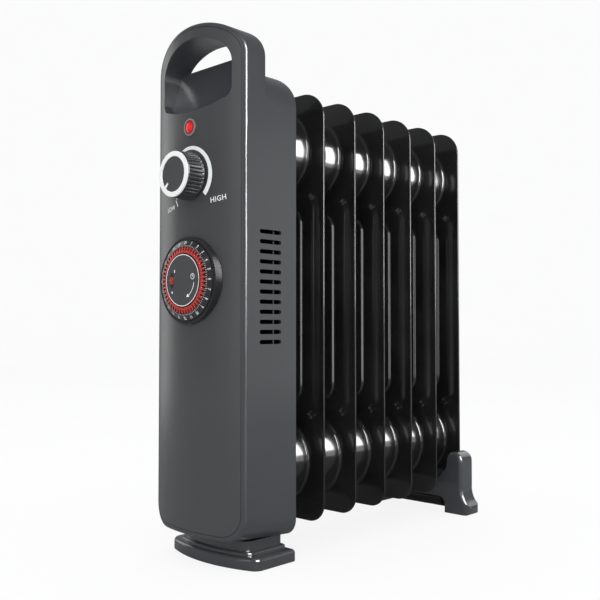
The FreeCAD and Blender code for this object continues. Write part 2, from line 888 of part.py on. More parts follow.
def neon_lamp():
    start = panel_thickness + lens_tail
    end = start + lamp_length
    glass = cylinder_y(lamp_radius, start, end, 0, lamp_z)
    leads = [cylinder_y(lead_radius, end, end + lead_length, side * lead_x, lamp_z) for side in (-1, 1)]
    return fuse_all([glass] + leads)


# ------------------------------------------------------------------ day timer

def timer_bezel():
    wall = ring_y(timer_bezel_radius, timer_bezel_radius - timer_bezel_wall, timer_bezel_front,
                  timer_bezel_rear, 0, timer_z)
    floor = ring_y(timer_bezel_radius, hub_radius + bore_gap, timer_bezel_rear - timer_floor,
                   timer_bezel_rear, 0, timer_z)
    return fuse_all([wall, floor])


def timer_dial_ring():
    """Turning dial: numbered cone outside, groove for the tappets, hub tube to the rear."""
    bore = timer_post_radius + bore_gap
    groove_in = tappet_inner - running_gap
    groove_out = tappet_outer + running_gap
    edge = timer_bezel_radius - timer_bezel_wall - part_gap
    inner_front = disc_front + disc_thickness + part_gap
    profile = loop([
        point(bore, inner_front, 0),
        point(groove_in, inner_front, 0),
        point(groove_in, groove_floor, 0),
        point(groove_out, groove_floor, 0),
        point(groove_out, dial_front, 0),
        point(groove_out + dial_rim, dial_front, 0),
        point(edge, dial_edge_front, 0),
        point(edge, dial_rear, 0),
        point(hub_radius, dial_rear, 0),
        point(hub_radius, gear_y + gear_width, 0),
        point(bore, gear_y + gear_width, 0),
    ])
    return lathe_y(profile, timer_z)


def tappet(index):
    """One captive segment of the tappet ring."""
    pitch = 360 / tappet_count
    gap_angle = math.degrees(tappet_gap / tappet_outer)
    sector = ring_y(tappet_outer, tappet_inner, tappet_front, tappet_front + tappet_length)
    half = math.radians((pitch - gap_angle) / 2)
    reach = 2 * tappet_outer
    wedge = [point(0, -far, 0), point(reach * math.cos(half), -far, reach * math.sin(half)),
             point(reach * math.cos(half), -far, -reach * math.sin(half))]
    piece = sector.common(Part.Face(Part.Wire(loop(wedge))).extrude(Vector(0, 2 * far, 0)))
    piece.rotate(Vector(0, 0, 0), Vector(0, -1, 0), 90 + pitch * (index + 0.5))
    piece.translate(Vector(0, 0, timer_z))
    return piece


def timer_tappets():
    return Part.makeCompound([tappet(i).Solids[0] for i in range(1, tappet_count)])


def timer_centre_disc():
    disc = cylinder_y(disc_radius, disc_front, disc_front + disc_thickness, 0, timer_z)
    post_end = timer_bezel_rear + case_depth - case_wall
    post = cylinder_y(timer_post_radius, disc_front, post_end, 0, timer_z)
    disc = fuse_all([disc, post])
    half = switch_slot_height / 2
    pocket = box((switch_x - switch_slot_width / 2, switch_x + switch_slot_width / 2),
                 (-far, disc_front + disc_thickness * switch_slot_share), (timer_z - half, timer_z + half))
    return disc.cut(pocket)


def timer_switch_lever():
    floor = disc_front + disc_thickness * switch_slot_share
    across = (switch_x - switch_width / 2, switch_x + switch_width / 2)
    foot = box(across, (disc_front - switch_foot_front, floor - bore_gap),
               (timer_z - switch_height / 2, timer_z + switch_height / 2))
    grip = box(across, (disc_front - switch_grip_front, disc_front),
               (timer_z - switch_grip_half, timer_z + switch_grip_half))
    return fuse_all([foot, grip])


def timer_case():
    start = timer_bezel_rear
    end = start + case_depth
    outer = rounded_rectangle(case_half, timer_z - case_half, timer_z + case_half, case_corner, case_corner)
    inner_half = case_half - case_wall
    inner_corner = case_corner - case_wall
    inner = rounded_rectangle(inner_half, timer_z - inner_half, timer_z + inner_half,
                              inner_corner, inner_corner)
    case = prism_y(outer, start, end).cut(prism_y(inner, start - 1, end - case_wall))
    return case.cut(cylinder_y(motor_shaft + part_gap, 0, far, 0, pinion_z()))


def gear_outline(teeth, phase):
    """Straight-flanked teeth; half widths shrink from root to tip by the flank angle."""
    pitch_radius = gear_module * teeth / 2
    tip = pitch_radius + tooth_tip * gear_module
    root = pitch_radius - tooth_root * gear_module
    half_pitch = math.pi * gear_module * tooth_share / 2
    slope = math.tan(math.radians(flank_angle))
    corners = []
    for i in range(teeth):
        centre = math.radians(360 / teeth * i + phase)
        for radius, side in ((root, -1), (tip, -1), (tip, 1), (root, 1)):
            half = half_pitch + (pitch_radius - radius) * slope
            angle = centre + side * half / radius
            corners.append(point(radius * math.cos(angle), 0, radius * math.sin(angle)))
    return Part.Wire(loop(corners))


def pinion_z():
    return timer_z - gear_module * (gear_teeth + pinion_teeth) / 2


def timer_drive_gear():
    gear = prism_y(gear_outline(gear_teeth, 90), gear_y, gear_y + gear_width)
    gear.translate(Vector(0, 0, timer_z))
    return gear.cut(cylinder_y(hub_radius + bore_gap / 2, 0, far, 0, timer_z))


def timer_pinion():
    gear = prism_y(gear_outline(pinion_teeth, 90 + 180 / pinion_teeth), gear_y, gear_y + gear_width)
    shaft = cylinder_y(motor_shaft, gear_y - 1, timer_bezel_rear + case_depth + motor_shaft_reach)
    pinion = fuse_all([gear, shaft])
    pinion.translate(Vector(0, 0, pinion_z()))
    return pinion


def timer_motor():
    start = timer_bezel_rear + case_depth
    can = cylinder_y(motor_radius, start, start + motor_depth, 0, pinion_z())
    bore_end = start + motor_shaft_reach + part_gap
    return can.cut(cylinder_y(motor_shaft + bore_gap, start - 1, bore_end, 0, pinion_z()))


# ------------------------------------------------------------------ electrical parts on the back plate

def terminal_block():
    width, depth, height = terminal_block_size
    block = box((-width / 2, width / 2), (plate_y - depth, plate_y),
                (terminal_block_z - height / 2, terminal_block_z + height / 2))
    for i in range(3):
        x = (i - 1) * width / 3
        block = block.cut(cylinder_y(terminal_hole_radius, 0, plate_y - terminal_hole_floor, x,
                                     terminal_block_z))
    return block


def thermal_cutout():
    start = plate_y + plate_thickness
    can = cylinder_y(cutout_radius, start, start + cutout_height, cutout_x, cutout_z)
    tabs = []
    for side in (-1, 1):
        x = cutout_x + side * cutout_tab_x
        tabs.append(box((x - cutout_tab_half, x + cutout_tab_half), (start, start + cutout_tab_thickness),
                        (cutout_z - cutout_radius - cutout_tab_reach, cutout_z)))
    return fuse_all([can] + tabs)


def earth_screw():
    start = plate_y + plate_thickness
    shank = cylinder_y(small_screw_radius, plate_y - screw_spare, start, earth_x, earth_z)
    head = cylinder_y(small_head_radius, start, start + small_head_height, earth_x, earth_z)
    return fuse_all([shank, head])


def cord_inlet_bush():
    """Flanged bush in the left side wall where the supply cord enters."""
    outer = -housing_half
    inner = -housing_half + housing_wall + inlet_tail
    axis = Vector(1, 0, 0)
    tube = Part.makeCylinder(inlet_tube, inner - outer, Vector(outer, inlet_y, inlet_z), axis)
    flange = Part.makeCylinder(inlet_flange, inlet_flange_height,
                               Vector(outer - inlet_flange_height, inlet_y, inlet_z), axis)
    bore = Part.makeCylinder(inlet_bore, 2 * past, Vector(outer - past, inlet_y, inlet_z), axis)
    return fuse_all([tube, flange]).cut(bore)


def wire_path(points, bend):
    """Straight runs joined by tangent arcs of one radius."""
    vectors = [Vector(*p) for p in points]
    edges = []
    start = vectors[0]
    for before, corner, after in zip(vectors, vectors[1:], vectors[2:]):
        incoming = (corner - before).normalize()
        outgoing = (after - corner).normalize()
        turn = incoming.getAngle(outgoing)
        cut = bend * math.tan(turn / 2)
        arc_start = corner - incoming * cut
        arc_end = corner + outgoing * cut
        inward = (outgoing - incoming).normalize()
        middle = corner + inward * (bend / math.cos(turn / 2) - bend)
        edges.append(line(start, arc_start))
        edges.append(arc(arc_start, middle, arc_end))
        start = arc_end
    edges.append(line(start, vectors[-1]))
    return Part.Wire(edges)


def wire(points):
    path = wire_path(points, wire_bend)
    direction = (Vector(*points[1]) - Vector(*points[0])).normalize()
    profile = Part.Wire(Part.makeCircle(wire_radius, Vector(*points[0]), direction))
    return path.makePipeShell([profile], True, False)


def internal_wires():
    """Insulated leads between the terminal block, thermostat, timer, cut-out and element."""
    lane = wire_lane
    depth = wire_depth
    block_x = terminal_block_size[0] / 3
    block_top = terminal_block_z + terminal_block_size[2] / 2
    block_bottom = terminal_block_z - terminal_block_size[2] / 2
    tab_end = thermostat_front + thermostat_depth + tab_length
    case_rear = timer_bezel_rear + case_depth
    case_x = motor_radius + 6
    case_z = case_half - motor_radius - 1.6
    blade_end = first_fin_y - end_dome_height - flange_thickness - element_lead - bead_length - blade_length
    turn = blade_end - 8
    pole_x = element_spacing
    side_x = element_spacing + 12
    supply = [
        (-block_x, depth, block_top), (-block_x, depth, block_top + 16), (-lane, depth, block_top + 36),
        (-lane, depth, knob_z - 26), (-tab_x, depth + 3, knob_z - 13), (-tab_x, depth + 3, knob_z),
        (-tab_x, tab_end, knob_z),
    ]
    to_timer = [
        (tab_x, tab_end, knob_z), (tab_x, depth + 3, knob_z), (tab_x, depth + 3, knob_z - 20),
        (case_x, depth, timer_z + case_half + 8), (case_x, depth, timer_z + case_z),
        (case_x, case_rear, timer_z + case_z),
    ]
    to_element = [
        (case_x, case_rear, timer_z - case_z), (case_x, depth, timer_z - case_z),
        (case_x, depth, cutout_z + 18), (pole_x, depth - 3, block_top + 16),
        (side_x, depth - 6, terminal_block_z), (side_x, turn, header_low + 8),
        (pole_x, turn, header_low), (pole_x, blade_end, header_low),
    ]
    neutral = [
        (-block_x, depth, block_bottom), (-block_x, depth, block_bottom - 7),
        (-block_x, depth - 7, block_bottom - 14), (-pole_x, turn, header_low),
        (-pole_x, blade_end, header_low),
    ]
    return Part.makeCompound([wire(route) for route in (supply, to_timer, to_element, neutral)])


# ------------------------------------------------------------------ feet

def foot_block(half, rear, front, bow, corner, z_low, z_high):
    """Upright block with a straight back, a bowed front and rounded front corners."""
    outline = Part.Wire([
        line(point(-half, rear, z_low), point(-half, front + bow, z_low)),
        arc(point(-half, front + bow, z_low), point(0, front, z_low), point(half, front + bow, z_low)),
        line(point(half, front + bow, z_low), point(half, rear, z_low)),
        line(point(half, rear, z_low), point(-half, rear, z_low)),
    ])
    block = Part.Face(outline).extrude(Vector(0, 0, z_high - z_low))
    height = z_high - z_low
    front_corners = edges_where(block, lambda edge: edge.BoundBox.ZLength > height - equal
                                and edge.CenterOfMass.y < front + bow + equal)
    block = block.makeFillet(corner, front_corners)
    rear_corners = edges_where(block, lambda edge: edge.BoundBox.ZLength > height - equal
                               and edge.CenterOfMass.y > rear - equal)
    return block.makeFillet(corner / 4, rear_corners)


def round_level(block, z, radius):
    """Round every edge of a block that lies flat at one height."""
    level = edges_where(block, lambda edge: edge.BoundBox.ZLength < equal
                        and abs(edge.BoundBox.ZMin - z) < equal)
    return block.makeFillet(radius, level)


def front_foot():
    base = foot_block(base_half, base_rear, base_front, base_bow, base_corner, 0, base_height)
    base = round_level(round_level(base, base_height, base_round), 0, base_foot_round)
    step_top = base_height + step_height
    step = foot_block(step_half, base_rear - rear_set_back[0], step_front, step_bow, neck_corner,
                      base_height - 1, step_top)
    step = round_level(step, step_top, step_height * 0.7)
    neck = foot_block(neck_half, base_rear - rear_set_back[1], neck_front, neck_bow, neck_corner,
                      base_height, neck_top)
    tongue = box((-tongue_half, tongue_half), (tongue_front, tongue_rear), (neck_top - 1, plate_bottom))
    foot = fuse_all([base, step, neck, tongue])
    for side in (-1, 1):
        x = side * foot_screw_x
        foot = foot.cut(cylinder_z(foot_screw_radius + bore_gap, -1, far, x, foot_screw_y))
        foot = foot.cut(cylinder_z(foot_screw_head + part_gap, -1, foot_screw_sink, x, foot_screw_y))
    return foot


def front_foot_screws():
    screws = []
    for side in (-1, 1):
        x = side * foot_screw_x
        head = cylinder_z(foot_screw_head, foot_screw_sink - foot_screw_head_height, foot_screw_sink, x,
                          foot_screw_y)
        tip = plate_bottom + plate_thickness + screw_spare
        shank = cylinder_z(foot_screw_radius, foot_screw_sink, tip, x, foot_screw_y)
        screws.append(fuse_all([head, shank]))
    return Part.makeCompound(screws)


def rear_foot_outline():
    """Two flared legs joined by a low web that is cut round the lower header."""
    outer = leg_x + leg_half
    inner = leg_x - leg_half
    round_z = leg_top - leg_half
    cut_radius = dome_barrel + dome_flare + cutout_clearance
    meet_z = header_low - math.sqrt(cut_radius ** 2 - inner ** 2)
    arch_side = arch_run * (1 - math.sqrt(0.5))
    flare_z = toe_height + flare_height
    right = [
        line(point(0, 0, arch_height), point(inner_leg - arch_run, 0, arch_height)),
        arc(point(inner_leg - arch_run, 0, arch_height),
            point(inner_leg - arch_side, 0, arch_height - arch_side),
            point(inner_leg, 0, arch_height - arch_run)),
        line(point(inner_leg, 0, arch_height - arch_run), point(inner_leg, 0, 0)),
        line(point(inner_leg, 0, 0), point(toe_x - toe_nose, 0, 0)),
        arc(point(toe_x - toe_nose, 0, 0), point(toe_x, 0, toe_height / 2),
            point(toe_x - toe_lip, 0, toe_height)),
        arc(point(toe_x - toe_lip, 0, toe_height),
            point(outer + flare_bulge[0], 0, toe_height + flare_bulge[1]), point(outer, 0, flare_z)),
        line(point(outer, 0, flare_z), point(outer, 0, round_z)),
        arc(point(outer, 0, round_z), point(leg_x, 0, leg_top), point(inner, 0, round_z)),
        line(point(inner, 0, round_z), point(inner, 0, meet_z)),
        arc(point(inner, 0, meet_z),
            point(inner / 2, 0, header_low - math.sqrt(cut_radius ** 2 - inner ** 2 / 4)),
            point(0, 0, header_low - cut_radius)),
    ]
    left = [edge.mirror(Vector(0, 0, 0), Vector(1, 0, 0)) for edge in right]
    return Part.Wire(Part.__sortEdges__(right + left))


def rear_foot():
    start = last_fin_y - foot_front
    end = last_fin_y + rear_overhang
    foot = prism_y(rear_foot_outline(), start, end)

    def on_leg_rim(edge):
        limits = edge.BoundBox
        flat = limits.YLength < equal
        return flat and abs(edge.CenterOfMass.x) > inner_leg + equal and limits.ZMin > toe_height - equal

    foot = foot.makeFillet(foot_fillet, edges_where(foot, on_leg_rim))
    plan = box((-toe_x, toe_x), (start, end), (-1, leg_top + 1))
    upright = edges_where(plan, lambda edge: edge.BoundBox.ZLength > leg_top)
    foot = foot.common(plan.makeFillet(toe_round, upright))
    slot = rounded_rectangle(fin_half + part_gap, fin_bottom - part_gap, fin_top,
                             fin_bottom_corner + part_gap, fin_top_corner)
    foot = foot.cut(prism_y(slot, last_fin_y - sheet - part_gap, last_fin_y + sheet + part_gap))
    head_seat = end - clamp_sink
    rail_hole_top = arch_height + rail_screw_reach + 0.5
    for side in (-1, 1):
        x = side * clamp_screw_x
        foot = foot.cut(cylinder_y(small_screw_radius + bore_gap, start + clamp_front, end + 1, x,
                                   clamp_screw_z))
        foot = foot.cut(cylinder_y(small_head_radius + part_gap, head_seat, end + 1, x, clamp_screw_z))
        foot = foot.cut(cylinder_z(small_screw_radius, 0, rail_hole_top, side * rail_screw_x, last_fin_y))
    return largest_solid(foot)


def rear_foot_screws():
    start = last_fin_y - foot_front + clamp_front + 1
    head_seat = last_fin_y + rear_overhang - clamp_sink
    screws = []
    for side in (-1, 1):
        x = side * clamp_screw_x
        shank = cylinder_y(small_screw_radius, start, head_seat, x, clamp_screw_z)
        head = cylinder_y(small_head_radius, head_seat, head_seat + small_head_height, x, clamp_screw_z)
        screws.append(fuse_all([shank, head]))
    return Part.makeCompound(screws)


def rear_foot_rail():
    """Half-round rail under the web, flat on top."""
    centre_z = rail_bottom + rail_radius
    start = Vector(-rail_half, last_fin_y, centre_z)
    bar = Part.makeCylinder(rail_radius, 2 * rail_half, start, Vector(1, 0, 0))
    bar = bar.common(box((-far, far), (0, far), (0, arch_height)))
    for side in (-1, 1):
        x = side * rail_screw_x
        bar = bar.cut(cylinder_z(small_screw_radius + bore_gap, 0, far, x, last_fin_y))
        bar = bar.cut(cylinder_z(small_head_radius + part_gap, 0, rail_bottom + rail_screw_sink, x,
                                 last_fin_y))
    return bar


def rail_screws():
    screws = []
    for side in (-1, 1):
        x = side * rail_screw_x
        seat = rail_bottom + rail_screw_sink
        tip = arch_height + rail_screw_reach
        shank = cylinder_z(small_screw_radius - bore_gap, seat, tip, x, last_fin_y)
        head = cylinder_z(small_head_radius, seat - small_head_height, seat, x, last_fin_y)
        screws.append(fuse_all([shank, head]))
    return Part.makeCompound(screws)


# ------------------------------------------------------------------ assembly

def build():
    parts = {
        "front_panel": front_panel(),
        "housing_shell": housing_shell(),
        "panel_screws": panel_screws(),
        "back_plate": back_plate(),
        "mounting_studs": mounting_studs(),
        "mounting_nuts": mounting_nuts(),
        "cord_inlet_bush": cord_inlet_bush(),
        "terminal_block": terminal_block(),
        "thermal_cutout": thermal_cutout(),
        "earth_screw": earth_screw(),
        "internal_wires": internal_wires(),
        "indicator_lens": indicator_lens(),
        "indicator_bezel": indicator_bezel(),
        "neon_lamp": neon_lamp(),
        "thermostat_body": thermostat_body(),
        "thermostat_nut": thermostat_nut(),
        "thermostat_spindle": thermostat_spindle(),
        "thermostat_knob": thermostat_knob(),
        "knob_trim_ring": knob_trim_ring(),
        "knob_cap": knob_cap(),
        "timer_bezel": timer_bezel(),
        "timer_dial_ring": timer_dial_ring(),
        "timer_tappets": timer_tappets(),
        "timer_tappet_single": tappet(0).Solids[0],
        "timer_centre_disc": timer_centre_disc(),
        "timer_switch_lever": timer_switch_lever(),
        "timer_case": timer_case(),
        "timer_drive_gear": timer_drive_gear(),
        "timer_pinion": timer_pinion(),
        "timer_motor": timer_motor(),
        "heater_element": heater_element(),
        "heater_flange": heater_flange(),
        "heater_terminals": heater_terminals(),
        "oil_filler_plug": oil_filler_plug(),
        "front_foot": front_foot(),
        "front_foot_screws": front_foot_screws(),
        "rear_foot": rear_foot(),
        "rear_foot_screws": rear_foot_screws(),
        "rear_foot_rail": rear_foot_rail(),
        "rail_screws": rail_screws(),
    }
    parts.update(fins())
    return parts


os.makedirs("parts", exist_ok=True)
for name, shape in build().items():
    shape.translate(Vector(0, crown_y, 0))
    shape.exportStep(f"parts/{name}.step")
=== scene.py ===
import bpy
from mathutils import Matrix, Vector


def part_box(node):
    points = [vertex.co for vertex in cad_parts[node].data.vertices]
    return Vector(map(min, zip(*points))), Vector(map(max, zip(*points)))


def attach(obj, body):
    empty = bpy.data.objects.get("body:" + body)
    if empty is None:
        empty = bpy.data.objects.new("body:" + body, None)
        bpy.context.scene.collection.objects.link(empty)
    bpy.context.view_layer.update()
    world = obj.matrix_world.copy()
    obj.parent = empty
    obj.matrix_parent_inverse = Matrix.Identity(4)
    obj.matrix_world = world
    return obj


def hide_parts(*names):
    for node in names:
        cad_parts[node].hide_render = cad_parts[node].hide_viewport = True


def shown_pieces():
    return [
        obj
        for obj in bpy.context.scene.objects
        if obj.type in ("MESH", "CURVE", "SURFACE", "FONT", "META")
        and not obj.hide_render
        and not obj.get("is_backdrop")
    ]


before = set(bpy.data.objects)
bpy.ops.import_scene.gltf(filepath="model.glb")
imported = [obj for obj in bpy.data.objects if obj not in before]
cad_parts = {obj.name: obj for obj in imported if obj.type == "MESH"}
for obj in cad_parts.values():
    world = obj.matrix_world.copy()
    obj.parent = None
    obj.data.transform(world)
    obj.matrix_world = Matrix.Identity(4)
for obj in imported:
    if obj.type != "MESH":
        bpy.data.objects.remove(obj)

"""Looks of the oil filled radiator heater.

Every class below works in millimetres in the part's own frame: X is the width, Y runs from the
control panel to the rear and Z is up from the floor. Shape.build() turns millimetres into metres.
"""
import logging
import math
from collections.abc import Callable
from dataclasses import dataclass, field
from enum import Enum

import bmesh
import bpy
import numpy as np
from mathutils import Vector

LOG = logging.getLogger("heater")
MM = 0.001
FULL_TURN = 2 * math.pi
WELD_PARTS = 1e4
WELD_DISTANCE = 1e-6
COLOUR_INPUTS, COLOUR_OUTPUT = slice(6, 8), 2   # the RGBA sockets of a Mix node
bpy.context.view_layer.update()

Pair = tuple[float, float]
Triple = tuple[float, float, float]
Socket = bpy.types.NodeSocket
Wrap = Callable[[np.ndarray, float], np.ndarray]


# ------------------------------------------------------------------ shader sheets

@dataclass(frozen=True)
class Grain:
    """One noise: its cells per metre, its octaves and the strength of the finer octaves."""

    scale: float
    detail: float = 3.0
    roughness: float = 0.5


class NodeSheet:
    """Adds and links the shader nodes of one material."""

    def __init__(self, name: str) -> None:
        """Starts a material with a Principled shader.

        Args:
            name: the material's name.
        """
        self.material = bpy.data.materials.new(name)
        self.material.use_nodes = True
        self.tree = self.material.node_tree
        self.shader = self.tree.nodes["Principled BSDF"]

    def node(self, kind: str, **settings: object) -> bpy.types.Node:
        """Adds a node.

        Args:
            kind: the node's type name after "ShaderNode".
            settings: properties of the node, or socket values when no property has that name.

        Returns:
            The new node.
        """
        made = self.tree.nodes.new("ShaderNode" + kind)
        for key, value in settings.items():
            if hasattr(made, key):
                setattr(made, key, value)
            else:
                made.inputs[key.replace("_", " ")].default_value = value
        return made

    def feed(self, target: Socket, value: Socket | float | tuple[float, ...]) -> None:
        """Links an input to a socket, or sets it to a fixed value."""
        if isinstance(value, Socket):
            self.tree.links.new(value, target)
        else:
            target.default_value = value

    def finish(self, **inputs: Socket | float) -> bpy.types.Material:
        """Feeds the main shader.

        Args:
            inputs: what goes to each input; an underscore stands for a space in its name.

        Returns:
            The material.
        """
        for key, value in inputs.items():
            self.feed(self.shader.inputs[key.replace("_", " ")], value)
        return self.material

    def coordinates(self, stretch: Triple = (1.0, 1.0, 1.0)) -> Socket:
        """Object coordinates, in metres, scaled along each axis.

        Args:
            stretch: scale along X, Y and Z.

        Returns:
            The vector socket.
        """
        mapping = self.node("Mapping", vector_type="POINT", Scale=stretch)
        self.feed(mapping.inputs["Vector"], self.node("TexCoord").outputs["Object"])
        return mapping.outputs["Vector"]

    def noise(self, vector: Socket, grain: Grain) -> Socket:
        """Noise value from 0 to 1.

        Args:
            vector: where it is read.
            grain: its fineness.

        Returns:
            The factor socket.
        """
        made = self.node("TexNoise", Scale=grain.scale, Detail=grain.detail,
                         Roughness=grain.roughness)
        self.feed(made.inputs["Vector"], vector)
        return made.outputs[0]

    def span(self, value: Socket, low: float = 0.0, high: float = 1.0, start: float = 0.3,
             end: float = 0.7) -> Socket:
        """Maps a value from start..end to low..high.

        Args:
            value: the socket to map.
            low: result at start.
            high: result at end.
            start: value that gives low.
            end: value that gives high.

        Returns:
            The mapped socket.
        """
        made = self.node("MapRange", clamp=True)
        for socket, filling in zip(made.inputs[:5], (value, start, end, low, high)):
            self.feed(socket, filling)
        return made.outputs[0]

    def product(self, first: Socket, second: Socket | float) -> Socket:
        """Multiplies two values.

        Args:
            first: a socket.
            second: a socket or a number.

        Returns:
            The product's socket.
        """
        made = self.node("Math", operation="MULTIPLY")
        self.feed(made.inputs[0], first)
        self.feed(made.inputs[1], second)
        return made.outputs[0]

    def blend(self, factor: Socket, first: Socket | Triple, second: Socket | Triple) -> Socket:
        """Mixes two colours.

        Args:
            factor: 0 gives first and 1 gives second.
            first: a colour or a socket.
            second: a colour or a socket.

        Returns:
            The colour socket.
        """
        made = self.node("Mix", data_type="RGBA")
        self.feed(made.inputs[0], factor)
        for socket, colour in zip(made.inputs[COLOUR_INPUTS], (first, second)):
            self.feed(socket, colour if isinstance(colour, Socket) else (*colour, 1.0))
        return made.outputs[COLOUR_OUTPUT]

    def bump(self, height: Socket, depth: float, strength: float,
             under: Socket | None = None) -> Socket:
        """Bump from a height.

        Args:
            height: the height socket, 0 to 1.
            depth: metres from 0 to 1.
            strength: share of the bump that is used.
            under: the normal that this bump is added to.

        Returns:
            The normal socket.
        """
        made = self.node("Bump", Strength=strength, Distance=depth)
        self.feed(made.inputs["Height"], height)
        if under is not None:
            self.feed(made.inputs["Normal"], under)
        return made.outputs["Normal"]


def shade(colour: Triple, gain: float, lift: float = 0.0) -> Triple:
    """A colour times a gain, plus a lift."""
    return tuple(part * gain + lift for part in colour)


# ------------------------------------------------------------------ finishes

@dataclass(frozen=True)
class Moulded:
    """Injection moulded plastic: fine eroded texture, slow colour drift, light dust on top."""

    name: str
    colour: Triple
    gloss: Pair = (0.34, 0.44)
    grain: float = 2600.0
    grain_depth: float = 0.00002
    drift: float = 0.1
    coat: float = 0.0
    coat_roughness: float = 0.1
    dust: float = 0.05

    DRIFTS = Grain(14.0, 4.0)
    SPECKS = Grain(900.0, 2.0, 0.7)
    SPECK_SPAN = (0.2, 1.0, 0.4, 0.65)
    FACING_UP = (0.55, 1.0)
    DUST_COLOUR = (0.45, 0.44, 0.42)
    RUBBING = Grain(60.0, 5.0, 0.6)
    RUBBED_UPRIGHT = (1.0, 1.0, 0.25)
    RIPPLE = Grain(45.0, 2.0)
    RIPPLE_GAIN = 3
    RIPPLE_STRENGTH = 0.25
    GRAIN_OCTAVES = (2.0, 0.6)
    GRAIN_STRENGTH = 0.6

    def make(self) -> bpy.types.Material:
        """Builds the material.

        Returns:
            The material.
        """
        sheet = NodeSheet(self.name)
        here = sheet.coordinates()
        dark, light = shade(self.colour, 1 - self.drift), shade(self.colour, 1 + self.drift)
        body = sheet.blend(sheet.span(sheet.noise(here, self.DRIFTS)), dark, light)
        split = sheet.node("SeparateXYZ")
        sheet.feed(split.inputs[0], sheet.node("NewGeometry").outputs["Normal"])
        upward = sheet.span(split.outputs["Z"], 0.0, self.dust, *self.FACING_UP)
        specks = sheet.span(sheet.noise(here, self.SPECKS), *self.SPECK_SPAN)
        rubbed = sheet.noise(sheet.coordinates(self.RUBBED_UPRIGHT), self.RUBBING)
        ripple = sheet.bump(sheet.noise(here, self.RIPPLE), self.grain_depth * self.RIPPLE_GAIN,
                            self.RIPPLE_STRENGTH)
        texture = sheet.noise(here, Grain(self.grain, *self.GRAIN_OCTAVES))
        return sheet.finish(
            Base_Color=sheet.blend(sheet.product(upward, specks), body, self.DUST_COLOUR),
            Roughness=sheet.span(rubbed, *self.gloss),
            Normal=sheet.bump(texture, self.grain_depth, self.GRAIN_STRENGTH, ripple),
            Coat_Weight=self.coat, Coat_Roughness=self.coat_roughness)


@dataclass(frozen=True)
class Enamel:
    """Baked gloss paint on pressed steel: orange peel, fine dust nibs and a little haze."""

    name: str
    colour: Triple
    gloss: Pair = (0.12, 0.2)
    peel: float = 320.0
    peel_depth: float = 0.00003
    nib_depth: float = 0.00004
    coat: float = 0.4
    coat_roughness: float = 0.06

    HAZE = Grain(25.0, 4.0)
    HAZE_GAIN, HAZE_LIFT = 1.6, 0.004
    SMEARS = Grain(120.0, 4.0)
    NIBS = Grain(700.0, 1.0)
    NIB_SPAN = (0.0, 1.0, 0.74, 0.86)
    PEEL_OCTAVES = 2.0
    PEEL_STRENGTH, NIB_STRENGTH = 0.5, 0.6

    def make(self) -> bpy.types.Material:
        """Builds the material.

        Returns:
            The material.
        """
        sheet = NodeSheet(self.name)
        here = sheet.coordinates()
        pale = shade(self.colour, self.HAZE_GAIN, self.HAZE_LIFT)
        peel = sheet.noise(here, Grain(self.peel, self.PEEL_OCTAVES))
        skin = sheet.bump(peel, self.peel_depth, self.PEEL_STRENGTH)
        nibs = sheet.span(sheet.noise(here, self.NIBS), *self.NIB_SPAN)
        return sheet.finish(
            Base_Color=sheet.blend(sheet.span(sheet.noise(here, self.HAZE)), self.colour, pale),
            Roughness=sheet.span(sheet.noise(here, self.SMEARS), *self.gloss),
            Normal=sheet.bump(nibs, self.nib_depth, self.NIB_STRENGTH, skin),
            Coat_Weight=self.coat, Coat_Roughness=self.coat_roughness)


@dataclass(frozen=True)
class Metal:
    """Bare or plated metal with fine turning or rolling lines."""

    name: str
    colour: Triple
    gloss: Pair = (0.25, 0.42)
    lines: Triple = (1.0, 12.0, 1.0)
    line_depth: float = 0.00001

    STAINS = Grain(90.0, 4.0)
    STAIN_GAIN = 0.78
    ROLLING = Grain(500.0)
    LINE_STRENGTH = 0.5

    def make(self) -> bpy.types.Material:
        """Builds the material.

        Returns:
            The material.
        """
        sheet = NodeSheet(self.name)
        stain = sheet.span(sheet.noise(sheet.coordinates(), self.STAINS))
        rolled = sheet.noise(sheet.coordinates(self.lines), self.ROLLING)
        return sheet.finish(
            Base_Color=sheet.blend(stain, self.colour, shade(self.colour, self.STAIN_GAIN)),
            Metallic=1.0, Roughness=sheet.span(rolled, *self.gloss),
            Normal=sheet.bump(rolled, self.line_depth, self.LINE_STRENGTH))


@dataclass(frozen=True)
class Ink:
    """Pad printed ink: even colour with a faint mottle and soft sheen."""

    name: str
    colour: Triple
    gloss: Pair = (0.45, 0.57)
    wear_depth: float = 0.00001

    MOTTLE = Grain(1500.0, 2.0)
    THIN_GAIN = 0.86
    WEAR = Grain(400.0, 2.0)
    WEAR_STRENGTH = 0.3

    def make(self) -> bpy.types.Material:
        """Builds the material.

        Returns:
            The material.
        """
        sheet = NodeSheet(self.name)
        here = sheet.coordinates()
        mottle = sheet.span(sheet.noise(here, self.MOTTLE))
        wear = sheet.noise(here, self.WEAR)
        return sheet.finish(
            Base_Color=sheet.blend(mottle, self.colour, shade(self.colour, self.THIN_GAIN)),
            Roughness=sheet.span(wear, *self.gloss),
            Normal=sheet.bump(wear, self.wear_depth, self.WEAR_STRENGTH))


